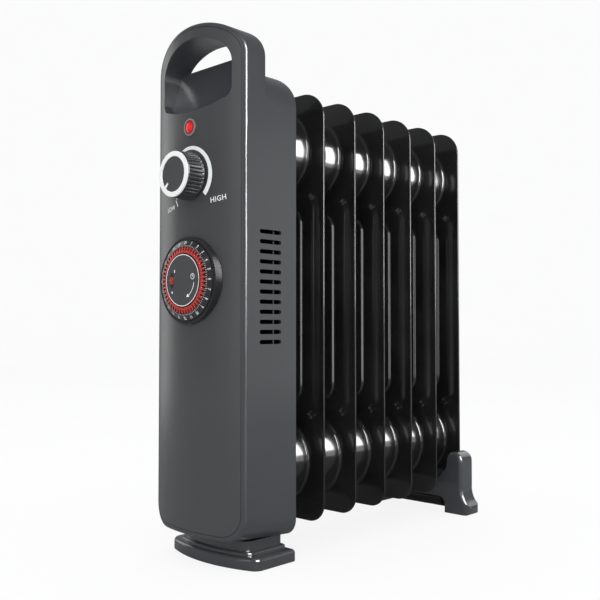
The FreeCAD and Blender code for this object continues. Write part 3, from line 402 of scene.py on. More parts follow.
@dataclass(frozen=True)
class LampLens:
    """Clear red plastic over a lit lamp: brighter towards the middle, with swirls from moulding."""

    name: str
    colour: Triple
    glow: float
    centre: Triple
    radius: float
    gloss: Pair = (0.1, 0.2)
    coat: float = 0.15
    swirl_depth: float = 0.00003

    GLOWING = (1.0, 0.02, 0.015)
    DEEP_GAIN = 0.3
    SWIRLS = Grain(300.0, 2.0)
    SWIRL_STRENGTH = 0.4

    def make(self) -> bpy.types.Material:
        """Builds the material.

        Returns:
            The material.
        """
        sheet = NodeSheet(self.name)
        away = sheet.node("VectorMath", operation="DISTANCE")
        sheet.feed(away.inputs[0], sheet.node("TexCoord").outputs["Object"])
        sheet.feed(away.inputs[1], self.centre)
        core = sheet.span(away.outputs["Value"], 1.0, 0.0, 0.0, self.radius)
        deep = shade(self.colour, self.DEEP_GAIN)
        swirl = sheet.noise(sheet.coordinates(), self.SWIRLS)
        return sheet.finish(
            Base_Color=sheet.blend(core, deep, self.colour),
            Emission_Color=sheet.blend(core, deep, self.GLOWING), Emission_Strength=self.glow,
            Roughness=sheet.span(swirl, *self.gloss), Coat_Weight=self.coat,
            Normal=sheet.bump(swirl, self.swirl_depth, self.SWIRL_STRENGTH))


class Finishes:
    """Every finish of the heater, each made once when it is first asked for."""

    # Moulded: name, colour, gloss, grain, grain_depth, drift, coat, coat_roughness, dust
    RECIPES = {
        "housing": Moulded("housing_grey", (0.041, 0.043, 0.048), (0.30, 0.40), 2400.0, 0.00002,
                           0.06, 0.5, 0.18),
        "panel": Moulded("panel_grey", (0.049, 0.0492, 0.051), (0.30, 0.40), 2400.0, 0.00002,
                         0.06, 0.4, 0.25),
        "foot": Moulded("foot_grey", (0.052, 0.053, 0.058), (0.16, 0.24), 1500.0, 0.00001,
                        0.06, 0.6, 0.1),
        "dark": Moulded("dark_grey_plastic", (0.022, 0.022, 0.024), (0.25, 0.36), 2000.0, 0.00001,
                        0.1, 0.3, 0.1),
        "knob": Moulded("knob_grey", (0.03, 0.031, 0.034), (0.24, 0.34), 2200.0, 0.00001,
                        0.08, 0.35, 0.15),
        "cap": Moulded("cap_grey", (0.054, 0.0545, 0.056), (0.34, 0.46), 2600.0, 0.00002,
                       0.08, 0.1, 0.2),
        "dial": Moulded("dial_black", (0.016, 0.016, 0.018), (0.22, 0.34), 2000.0, 0.00001,
                        0.1, 0.4, 0.08),
        "bezel": Moulded("lamp_bezel", (0.2, 0.2, 0.21), (0.2, 0.3), 1800.0, 0.00001,
                         0.03, 0.4, 0.1, 0.0),
        "white": Moulded("white_plastic", (0.86, 0.86, 0.85), (0.3, 0.4), 1800.0, 0.00001,
                         0.03, 0.2, 0.1, 0.0),
        "red": Moulded("red_plastic", (0.42, 0.03, 0.022), (0.28, 0.4), 1800.0, 0.00001,
                       0.08, 0.3, 0.1, 0.0),
        "ceramic": Moulded("ceramic_cream", (0.7, 0.68, 0.6), (0.5, 0.65), 1500.0, 0.00004,
                           0.05, 0.0, 0.1),
        "cable": Moulded("cable_black", (0.02, 0.02, 0.02), (0.45, 0.6), 1200.0, 0.00002, 0.1),
        "fin": Enamel("fin_black", (0.0075, 0.0075, 0.008), (0.14, 0.22)),
        # black enamel of the rail and the filler plug; on the galvanised back plate it is painted
        # shade, dark in place of the shade inside the housing
        "rail": Enamel("rail_black_and_painted_shade", (0.006, 0.006, 0.007), (0.1, 0.18)),
        "steel": Metal("steel", (0.55, 0.55, 0.54)),
        "zinc": Metal("zinc_plate", (0.66, 0.66, 0.63), (0.28, 0.42), (6.0, 1.0, 6.0)),
        "brass": Metal("brass", (0.76, 0.58, 0.26)),
        "ink": Ink("white_ink", (0.92, 0.93, 0.93)),
        "grey_ink": Ink("grey_ink", (0.6, 0.61, 0.62)),
    }

    def __init__(self) -> None:
        """Starts with nothing made."""
        self.made: dict[str, bpy.types.Material] = {}

    def get(self, key: str) -> bpy.types.Material:
        """The material of one finish, by its name in RECIPES or in a put()."""
        if key not in self.made:
            self.made[key] = self.RECIPES[key].make()
        return self.made[key]

    def put(self, key: str, recipe: LampLens) -> None:
        """Adds a finish whose recipe depends on where a piece stands."""
        self.made[key] = recipe.make()


# ------------------------------------------------------------------ surfaces

@dataclass
class Shape:
    """Faces gathered from surface patches, in millimetres, that become one welded mesh."""

    points: list[np.ndarray] = field(default_factory=list)
    corners: list[np.ndarray] = field(default_factory=list)
    count: int = 0

    def add(self, points: np.ndarray, corners: np.ndarray) -> None:
        """Adds faces.

        Args:
            points: n x 3 points.
            corners: m x 4 point numbers; a triangle repeats its last corner.
        """
        self.points.append(points)
        self.corners.append(corners + self.count)
        self.count += len(points)

    def grid(self, grid: np.ndarray, around: bool = False, along: bool = False) -> None:
        """Adds a rows x columns x 3 grid as quads.

        Args:
            grid: the points.
            around: whether the last column joins the first.
            along: whether the last row joins the first.
        """
        rows, columns = grid.shape[:2]
        index = np.arange(rows * columns).reshape(rows, columns)
        if around:
            index = np.hstack([index, index[:, :1]])
        if along:
            index = np.vstack([index, index[:1]])
        quads = np.stack([index[:-1, :-1], index[:-1, 1:], index[1:, 1:], index[1:, :-1]], -1)
        self.add(grid.reshape(-1, 3), quads.reshape(-1, 4))

    def bar(self, grid: np.ndarray) -> None:
        """Adds a tube of rows x 6 x 3 points and closes both of its ends."""
        self.grid(grid, around=True)
        for end in (grid[0], grid[-1]):
            self.add(end, np.array([[0, 1, 4, 5], [1, 2, 3, 4]]))

    def welded(self) -> tuple[np.ndarray, np.ndarray]:
        """Merges points that coincide to one part in WELD_PARTS of a millimetre.

        Returns:
            Points and corners (triangles repeat their last corner), without collapsed faces.
        """
        points = np.vstack(self.points)
        corners = np.vstack(self.corners)
        keys = np.round(points * WELD_PARTS).astype(np.int64)
        _, first, inverse = np.unique(keys, axis=0, return_index=True, return_inverse=True)
        corners = inverse.reshape(-1)[corners]
        same = corners == np.roll(corners, -1, axis=1)
        doubles = same.sum(axis=1)
        quads = corners[doubles == 0]
        crossed = (quads[:, 0] == quads[:, 2]) | (quads[:, 1] == quads[:, 3])
        kept = corners[doubles == 1][~same[doubles == 1]].reshape(-1, 3)
        triangles = np.hstack([kept, kept[:, -1:]])
        return points[first], np.vstack([quads[~crossed], triangles])

    def build(self, name: str, material: bpy.types.Material, crease: float,
              turn_out: bool = True) -> bpy.types.Object:
        """Makes the object, smooth except across sharp edges.

        Args:
            name: the piece's name.
            material: its finish.
            crease: angle in degrees above which an edge stays sharp.
            turn_out: whether the faces are turned to point outwards, for closed shapes.

        Returns:
            The new object at the origin.
        """
        points, faces = self.welded()
        sides = np.where(faces[:, 2] == faces[:, 3], 3, 4)
        used = np.arange(4)[None, :] < sides[:, None]
        mesh = bpy.data.meshes.new(name)
        mesh.vertices.add(len(points))
        mesh.vertices.foreach_set("co", (points * MM).astype(np.float32).ravel())
        mesh.loops.add(int(sides.sum()))
        mesh.loops.foreach_set("vertex_index", faces[used].astype(np.int32))
        mesh.polygons.add(len(faces))
        starts = np.concatenate([[0], np.cumsum(sides)[:-1]])
        mesh.polygons.foreach_set("loop_start", starts.astype(np.int32))
        mesh.update(calc_edges=True)
        mesh.validate()
        if turn_out:
            work = bmesh.new()
            work.from_mesh(mesh)
            bmesh.ops.recalc_face_normals(work, faces=work.faces)
            work.to_mesh(mesh)
            work.free()
        mesh.polygons.foreach_set("use_smooth", np.ones(len(mesh.polygons), bool))
        mesh.set_sharp_from_angle(angle=math.radians(crease))
        mesh.materials.append(material)
        made = bpy.data.objects.new(name, mesh)
        bpy.context.scene.collection.objects.link(made)
        LOG.info("built %s", name)
        return made


def around(angle: np.ndarray) -> np.ndarray:
    """Unit vectors at angles in radians, anticlockwise from the first axis."""
    return np.stack([np.cos(angle), np.sin(angle)], axis=-1)


def rounded_path(corners: list[Pair], radii: list[float], steps: int,
                 closed: bool = False) -> np.ndarray:
    """Polyline with its corners rounded: at each corner a circle of that radius touches both sides.

    Args:
        corners: the corner points.
        radii: one radius per corner; the ends of an open path ignore theirs.
        steps: points on each arc, less one.
        closed: whether the last corner joins the first.

    Returns:
        n x 2 points along the path.
    """
    spots = np.array(corners, float)
    made = []
    count = len(spots)
    for i in range(count):
        if not closed and i in (0, count - 1) or radii[i] == 0:
            made.append(spots[i:i + 1])
            continue
        back = spots[i - 1] - spots[i]
        ahead = spots[(i + 1) % count] - spots[i]
        back /= np.linalg.norm(back)
        ahead /= np.linalg.norm(ahead)
        half = math.acos(np.clip(back @ ahead, -1, 1)) / 2
        middle = (back + ahead) / np.linalg.norm(back + ahead)
        centre = spots[i] + middle * radii[i] / math.sin(half)
        touch = radii[i] / math.tan(half)
        start = spots[i] + back * touch - centre
        end = spots[i] + ahead * touch - centre
        sweep = math.atan2(start[0] * end[1] - start[1] * end[0], start @ end)
        turn = around(np.linspace(0, sweep, steps + 1))
        made.append(centre + turn[:, :1] * start + turn[:, 1:] * np.array([-start[1], start[0]]))
    return np.vstack(made)


def revolve(profile: np.ndarray, centre: Pair, segments: int = 96) -> np.ndarray:
    """Surface of revolution about Y: (r, y) at angle t goes to (x + r cos t, y, z + r sin t).

    Args:
        profile: n x 2 radii and y values.
        centre: x and z of the axis.
        segments: columns round the axis.

    Returns:
        n x segments x 3 grid.
    """
    angles = np.linspace(0, FULL_TURN, segments, endpoint=False)
    radius = profile[:, :1]
    depth = np.broadcast_to(profile[:, 1:], (len(profile), segments))
    return np.stack([centre[0] + radius * np.cos(angles), depth,
                     centre[1] + radius * np.sin(angles)], axis=-1)


def frame_ring(half: float, low: float, high: float, low_corner: float, high_corner: float,
               side_steps: int = 40, end_steps: int = 16, arc_steps: int = 14) -> np.ndarray:
    """Rounded rectangle in X and Z with as many points at every size, so that rings can be joined.

    Args:
        half: half width.
        low: lowest z.
        high: highest z.
        low_corner: radius of the two lower corners.
        high_corner: radius of the two upper corners.
        side_steps: parts of each upright side.
        end_steps: parts of each level side.
        arc_steps: parts of each corner.

    Returns:
        n x 2 points, anticlockwise from the lower right corner.
    """
    quarter = np.linspace(0, math.pi / 2, arc_steps + 1)
    runs = []
    for x, z, corner, start in ((half, low, low_corner, -1), (half, high, high_corner, 0),
                                (-half, high, high_corner, 1), (-half, low, low_corner, 2)):
        angle = quarter + start * math.pi / 2
        centre_x = x - math.copysign(corner, x)
        centre_z = z + corner if z == low else z - corner
        runs.append((centre_x, centre_z) + corner * around(angle))
    joined = []
    for i, steps in enumerate((side_steps, end_steps, side_steps, end_steps)):
        share = np.linspace(0, 1, steps + 1)[1:-1, None]
        joined.append(runs[i])
        joined.append(runs[i][-1] * (1 - share) + runs[(i + 1) % 4][0] * share)
    return np.vstack(joined)


def lettering(text: str, height: float, spacing: float,
              weight: float) -> tuple[np.ndarray, np.ndarray, np.ndarray]:
    """Pair letters centred on the origin.

    Args:
        text: what to write.
        height: capital height in millimetres.
        spacing: distance between letters against the normal one.
        weight: how far the outlines are fattened, in letter heights.

    Returns:
        n x 2 points, m x 3 triangles and k x 2 boundary edges.
    """
    curve = bpy.data.curves.new("letters", "FONT")
    curve.body = text
    curve.align_x = "CENTER"
    curve.align_y = "CENTER"
    curve.space_character = spacing
    curve.resolution_u = 3
    curve.offset = weight
    holder = bpy.data.objects.new("letters", curve)
    mesh = bpy.data.meshes.new_from_object(holder)
    mesh.calc_loop_triangles()
    spots = np.zeros(len(mesh.vertices) * 3)
    mesh.vertices.foreach_get("co", spots)
    triangles = np.zeros(len(mesh.loop_triangles) * 3, np.int32)
    mesh.loop_triangles.foreach_get("vertices", triangles)
    triangles = triangles.reshape(-1, 3)
    spots = spots.reshape(-1, 3)[:, :2]
    bpy.data.objects.remove(holder)
    bpy.data.curves.remove(curve)
    bpy.data.meshes.remove(mesh)
    tall = spots[:, 1].max() - spots[:, 1].min()
    middle = (spots.max(axis=0) + spots.min(axis=0)) / 2
    spots = (spots - middle) * height / tall
    edges = np.vstack([triangles[:, [0, 1]], triangles[:, [1, 2]], triangles[:, [2, 0]]])
    _, back, times = np.unique(np.sort(edges, axis=1), axis=0, return_index=True,
                               return_counts=True)
    return spots, triangles, edges[back[times == 1]]


# ------------------------------------------------------------------ where things are

class Datum:
    """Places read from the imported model, in millimetres."""

    def __init__(self) -> None:
        """Reads the boxes that the pieces are set out from."""
        self.crown = self.low("front_panel")[1]
        self.knob = self.middle("thermostat_knob")
        self.timer = self.middle("timer_bezel")
        self.lamp = self.middle("indicator_bezel")
        self.fins = [self.high(f"fin_{i}_front")[1] for i in range(1, self.fin_count() + 1)]

    @staticmethod
    def fin_count() -> int:
        """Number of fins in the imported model."""
        return sum(name.startswith("fin_") and name.endswith("_front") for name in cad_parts)

    @staticmethod
    def low(node: str) -> np.ndarray:
        """Lowest corner of a node."""
        return np.array(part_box(node)[0]) / MM

    @staticmethod
    def high(node: str) -> np.ndarray:
        """Highest corner of a node."""
        return np.array(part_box(node)[1]) / MM

    def middle(self, node: str) -> np.ndarray:
        """Middle of a node's box."""
        return (self.low(node) + self.high(node)) / 2


@dataclass(frozen=True)
class ConvexFront:
    """The bowed front surface: a cylinder with an upright axis."""

    crown: float
    radius: float = 127.83

    def lift(self, flat: np.ndarray, height: float | np.ndarray) -> np.ndarray:
        """Wraps flat points onto the front: (x, z) goes to the arc at x, then out along the normal.

        Args:
            flat: n x 2 points, x and z.
            height: how far they stand off the surface.

        Returns:
            n x 3 points.
        """
        x = flat[..., 0]
        out_x = x / self.radius
        out_y = -np.sqrt(1 - out_x ** 2)
        y = self.crown + self.radius + self.radius * out_y
        return np.stack([x + out_x * height, y + out_y * height, flat[..., 1]], axis=-1)


def raise_print(shape: Shape, wrap: Wrap, spots: np.ndarray, triangles: np.ndarray, rim: np.ndarray,
                foot: float, top: float) -> None:
    """Adds flat artwork as a thin closed slab: its face and its back, joined round the outline.

    Args:
        shape: the shape that gets it.
        wrap: function from flat points and a height to points in space.
        spots: n x 2 points.
        triangles: m x 3 point numbers.
        rim: k x 2 outline edges.
        foot: height of the underside.
        top: height of the face.
    """
    count = len(spots)
    points = np.vstack([wrap(spots, foot), wrap(spots, top)])
    face = np.hstack([triangles, triangles[:, -1:]])
    sides = np.stack([rim[:, 0], rim[:, 1], rim[:, 1] + count, rim[:, 0] + count], axis=1)
    shape.add(points, np.vstack([face[:, [0, 2, 1, 1]], face + count, sides]))


def raise_band(shape: Shape, wrap: Wrap, inner: np.ndarray, outer: np.ndarray, foot: float,
               top: float) -> None:
    """Adds a printed band between two lines as a thin closed slab.

    Args:
        shape: the shape that gets it.
        wrap: function from flat points and a height to points in space.
        inner: n x 2 points of one side.
        outer: n x 2 points of the other side.
        foot: height of the underside.
        top: height of the face.
    """
    ring = np.stack([wrap(inner, foot), wrap(inner, top), wrap(outer, top), wrap(outer, foot)], 1)
    shape.grid(ring, around=True)
    for end in (ring[0], ring[-1]):
        shape.add(end, np.array([[0, 1, 2, 3]]))


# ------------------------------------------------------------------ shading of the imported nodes

class SmoothShading:
    """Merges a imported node's loose triangles on the fly and shades it smooth up to its edges."""

    def __init__(self, crease: float = 32.0) -> None:
        """Builds the node group.

        Args:
            crease: angle in degrees above which an edge stays sharp.
        """
        self.group = bpy.data.node_groups.new("shade_by_edge_angle", "GeometryNodeTree")
        socket = self.group.interface.new_socket
        for way in ("INPUT", "OUTPUT"):
            socket("Geometry", in_out=way, socket_type="NodeSocketGeometry")
        nodes = self.group.nodes
        start = nodes.new("NodeGroupInput")
        end = nodes.new("NodeGroupOutput")
        faces = nodes.new("GeometryNodeSetShadeSmooth")
        faces.domain = "FACE"
        edges = nodes.new("GeometryNodeSetShadeSmooth")
        edges.domain = "EDGE"
        edges.inputs["Shade Smooth"].default_value = False
        angle = nodes.new("GeometryNodeInputMeshEdgeAngle")
        compare = nodes.new("FunctionNodeCompare")
        compare.operation = "GREATER_THAN"
        compare.inputs[1].default_value = math.radians(crease)
        link = self.group.links.new
        link(start.outputs[0], faces.inputs[0])
        link(faces.outputs[0], edges.inputs[0])
        link(angle.outputs["Unsigned Angle"], compare.inputs[0])
        link(compare.outputs[0], edges.inputs["Selection"])
        link(edges.outputs[0], end.inputs[0])

    def apply(self, made: bpy.types.Object) -> None:
        """Adds the modifiers that weld a node, shade it by angle and weight its normals by area.

        Args:
            made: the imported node.
        """
        weld = made.modifiers.new("merge", "WELD")
        weld.merge_threshold = WELD_DISTANCE
        shade = made.modifiers.new("shade", "NODES")
        shade.node_group = self.group
        even = made.modifiers.new("even", "WEIGHTED_NORMAL")
        even.keep_sharp = True
        even.weight = 100


class PackedNodes:
    """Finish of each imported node; those that aren't listed are fin pressings."""

    NODES_IN = {
        "panel": "front_panel",
        "housing": "housing_shell",
        # painted shade: the back plate is galvanised steel, but it takes the rail's black enamel to
        # stand in for the shade inside the housing behind the vents
        "rail": "back_plate oil_filler_plug rear_foot_rail",
        "zinc": "panel_screws mounting_nuts thermostat_nut front_foot_screws rear_foot_screws "
                "rail_screws",
        "steel": "mounting_studs thermal_cutout thermostat_spindle timer_motor heater_element "
                 "heater_flange",
        "dark": "cord_inlet_bush thermostat_body timer_case",
        "ceramic": "terminal_block neon_lamp heater_terminals",
        "brass": "earth_screw timer_pinion",
        "cable": "internal_wires",
        "lens": "indicator_lens",
        "bezel": "indicator_bezel",
        "knob": "thermostat_knob",
        "white": "knob_trim_ring timer_drive_gear",
        "cap": "knob_cap timer_centre_disc",
        "dial": "timer_bezel timer_dial_ring",
        "red": "timer_tappets timer_tappet_single timer_switch_lever",
        "foot": "front_foot rear_foot",
    }

    def __init__(self, finishes: Finishes) -> None:
        """Keeps the finishes that the nodes' materials come from."""
        self.finishes = finishes

    def dress(self) -> None:
        """Gives each node its material and smooth shading."""
        shading = SmoothShading()
        finish_of = {name: key for key, names in self.NODES_IN.items() for name in names.split()}
        for name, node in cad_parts.items():
            key = finish_of.get(name, "fin")
            node.data.materials.clear()
            node.data.materials.append(self.finishes.get(key))
            shading.apply(node)
            LOG.info("node %s finished as %s", name, key)


# ------------------------------------------------------------------ radiator fins

def smooth_steps(count: int) -> np.ndarray:
    """Numbers from 0 to 1 that ease in and out: 3 t squared less 2 t cubed."""
    share = np.linspace(0, 1, count)
    return share ** 2 * (3 - 2 * share)


@dataclass(frozen=True)
class Press:
    """Sizes of one pressed fin half; heights stand off the seam."""

    sheet: float = 0.8
    channel_half: float = 41.0
    channel_reach: float = 88.0
    channel_corner: float = 14.0
    channel_top: float = 3.2
    oblong_half: float = 26.0
    oblong_reach: float = 75.0
    oblong_corner: float = 13.0
    oblong_top: float = 4.9
    channel_slope: float = 6.0
    oblong_slope: float = 1.9
    foot_margin: float = 0.5
    plain_shares: Pair = (0.35, 0.7)
    slope_steps: int = 9
    low_corner: float = 15.0
    high_corner: float = 21.5
    hem: tuple[Pair, ...] = ((0.3, 0.0), (0.02, 0.22), (0.0, 0.45), (0.1, 0.68), (0.32, 0.8))


@dataclass(frozen=True)
class Dome:
    """Sizes of one header bulge."""

    barrel: float = 30.6
    flare: float = 3.4
    draft: float = 14.0
    round: float = 6.5
    inner_height: float = 18.4
    end_height: float = 8.6
    end_round: float = 4.0
    header_edge: float = 44.2
    flare_steps: int = 9
    wall_steps: int = 6
    crest_steps: int = 13

    def profile(self, height: float, shoulder: float, foot: float) -> np.ndarray:
        """Radius and height of the bulge: flared foot, drafted barrel, rounded shoulder, flat face.

        The foot and the shoulder are circles whose normals turn from straight out to the barrel's
        draft, so the wall is tangent to both.

        Args:
            height: height of the face over the seam.
            shoulder: radius of the shoulder.
            foot: height of the plate that it grows from.

        Returns:
            n x 2 radii and heights, from the sealed underside to the middle of the face.
        """
        draft = math.radians(self.draft)
        edge = self.barrel + self.flare
        lean = np.linspace(math.pi / 2, draft, self.flare_steps)
        flare = (edge, foot + self.flare) - self.flare * around(lean)
        top_y = height - shoulder + shoulder * math.sin(draft)
        top_radius = flare[-1, 0] - (top_y - flare[-1, 1]) * math.tan(draft)
        wall = np.linspace(flare[-1], (top_radius, top_y), self.wall_steps)[1:-1]
        lift = np.linspace(draft, math.pi / 2, self.crest_steps)
        centre = top_radius - shoulder * math.cos(draft)
        crest = (centre, height - shoulder) + shoulder * around(lift)
        return np.vstack([[(0.0, 0.0), (edge, 0.0)], flare, wall, crest, [(0.0, height)]])


class FinStack:
    """Every fin as one hemmed, pressed plate with its header bulges."""

    def __init__(self, datum: Datum, finishes: Finishes) -> None:
        """Reads where the fins stand.

        Args:
            datum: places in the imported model.
            finishes: where materials come from.
        """
        self.seams = datum.fins
        low, high = datum.low("fin_1_front"), datum.high("fin_1_front")
        self.half, self.bottom, self.top = high[0], low[2], high[2]
        self.press = Press()
        self.dome = Dome()
        self.headers = (self.bottom + self.dome.header_edge, self.top - self.dome.header_edge)
        self.middle = sum(self.headers) / 2
        self.material = finishes.get("fin")

    def rim(self, inward: float) -> np.ndarray:
        """Outline of the fin, moved inwards."""
        press = self.press
        return frame_ring(self.half - inward, self.bottom + inward, self.top - inward,
                          press.low_corner - inward, press.high_corner - inward)

    def panel(self, half: float, reach: float, corner: float, inward: float) -> np.ndarray:
        """Outline of a raised panel centred on the fin, moved inwards.

        Args:
            half: half width of the panel's foot.
            reach: half height of the panel's foot.
            corner: corner radius of the foot.
            inward: distance inside the foot.

        Returns:
            n x 2 points.
        """
        radius = max(corner - inward, 0.0)
        return frame_ring(max(half - inward, 0.0), self.middle - reach + inward,
                          self.middle + reach - inward, radius, radius)

    def relief(self) -> tuple[np.ndarray, np.ndarray]:
        """Rings from the seam at the rim to the middle line, and their heights.

        Between named outlines the rings are straight blends; on the two slopes the ring moves in
        evenly while the height is the mean of t and of 3 t squared less 2 t cubed, a straight ramp
        with softened ends.

        Returns:
            rings x points x 2 and the height of each ring.
        """
        press = self.press
        rings = [self.rim(inward) for inward, _ in press.hem]
        heights = [height for _, height in press.hem]
        channel = (press.channel_half, press.channel_reach, press.channel_corner)
        oblong = (press.oblong_half, press.oblong_reach, press.oblong_corner)
        slopes = ((channel, press.channel_slope, press.sheet, press.channel_top),
                  (oblong, press.oblong_slope, press.channel_top, press.oblong_top))
        for size, slope, low, high in slopes:
            foot = self.panel(*size, -press.foot_margin)
            for share in press.plain_shares:
                rings.append(rings[-1] * (1 - share) + foot * share)
                heights.append(low)
            steps = press.slope_steps
            for share, ease in zip(np.linspace(0, 1, steps), smooth_steps(steps)):
                rings.append(self.panel(*size, share * slope - press.foot_margin))
                heights.append(low + (high - low) * (share + ease) / 2)
        inner = press.oblong_slope - press.foot_margin
        for share in (0.5, 1.0):
            inward = inner + (press.oblong_half - inner) * share
            rings.append(self.panel(*oblong, inward))
            heights.append(press.oblong_top)
        return np.stack(rings), np.array(heights)

    def build(self) -> None:
        """Builds every fin."""
        rings, heights = self.relief()
        last = len(self.seams) - 1
        for index, seam in enumerate(self.seams):
            shape = Shape()
            for side, end in ((-1, index == 0), (1, index == last)):
                y = np.broadcast_to((seam + side * heights)[:, None], rings.shape[:2])
                shape.grid(np.stack([rings[..., 0], y, rings[..., 1]], -1), around=True)
                height = self.dome.end_height if end else self.dome.inner_height
                shoulder = self.dome.end_round if end else self.dome.round
                profile = self.dome.profile(height, shoulder, self.press.sheet)
                profile[:, 1] = seam + side * profile[:, 1]
                for z in self.headers:
                    shape.grid(revolve(profile, (0.0, z)), around=True)
            made = shape.build(f"pressed_fin_{index + 1}", self.material, crease=40.0)
            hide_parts(f"fin_{index + 1}_front", f"fin_{index + 1}_rear")
            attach(made, "heater")


# ------------------------------------------------------------------ printing on the front

@dataclass(frozen=True)
class PrintedScale:
    """The heat scale round the knob: growing arc, tick and two words.

    Angles are in degrees, anticlockwise from X, and points are x and z from the knob's axis. Each
    word has its text, place, capital height and tilt.
    """

    datum: Datum
    finishes: Finishes
    outer: float = 21.9
    thin: float = 0.9
    thick: float = 3.7
    growth: float = 0.8
    start: float = 222.0
    end: float = -43.0
    arc_points: int = 160
    raised: float = 0.06
    sunk: float = -0.3
    tick: tuple[Pair, Pair] = ((-17.6, -15.1), (-14.7, -19.8))
    tick_aside: Pair = (0.34, 0.21)
    words: tuple[tuple[str, Pair, float, float], ...] = (
        ("LOW", (-24.3, -20.5), 3.3, 8.0), ("HIGH", (27.2, -18.0), 3.8, 7.0))
    spacing: float = 1.1
    weight: float = 0.006

    def build(self) -> None:
        """Builds the print as one piece.

        The arc's outer edge is a circle; its inner edge is a spiral whose distance from the circle
        grows from thin at LOW to thick at HIGH, as the share of the arc to the power growth.
        """
        front = ConvexFront(self.datum.crown)
        centre = np.array([self.datum.knob[0], self.datum.knob[2]])
        shape = Shape()
        share = np.linspace(0, 1, self.arc_points)
        turn = around(np.radians(self.start + (self.end - self.start) * share))
        inner = self.outer - (self.thin + (self.thick - self.thin) * share ** self.growth)
        tick = centre + self.tick
        for near, far in ((centre + turn * inner[:, None], centre + turn * self.outer),
                          (tick - self.tick_aside, tick + self.tick_aside)):
            raise_band(shape, front.lift, near, far, self.sunk, self.raised)
        for text, place, height, tilt in self.words:
            spots, triangles, rim = lettering(text, height, self.spacing, self.weight)
            lean = math.radians(tilt)
            spin = np.array([[math.cos(lean), math.sin(lean)], [-math.sin(lean), math.cos(lean)]])
            spots = spots @ spin + centre + place
            raise_print(shape, front.lift, spots, triangles, rim, self.sunk, self.raised)
        made = shape.build("heat_scale_print", self.finishes.get("ink"), crease=40.0)
        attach(made, "heater")


# ------------------------------------------------------------------ thermostat knob

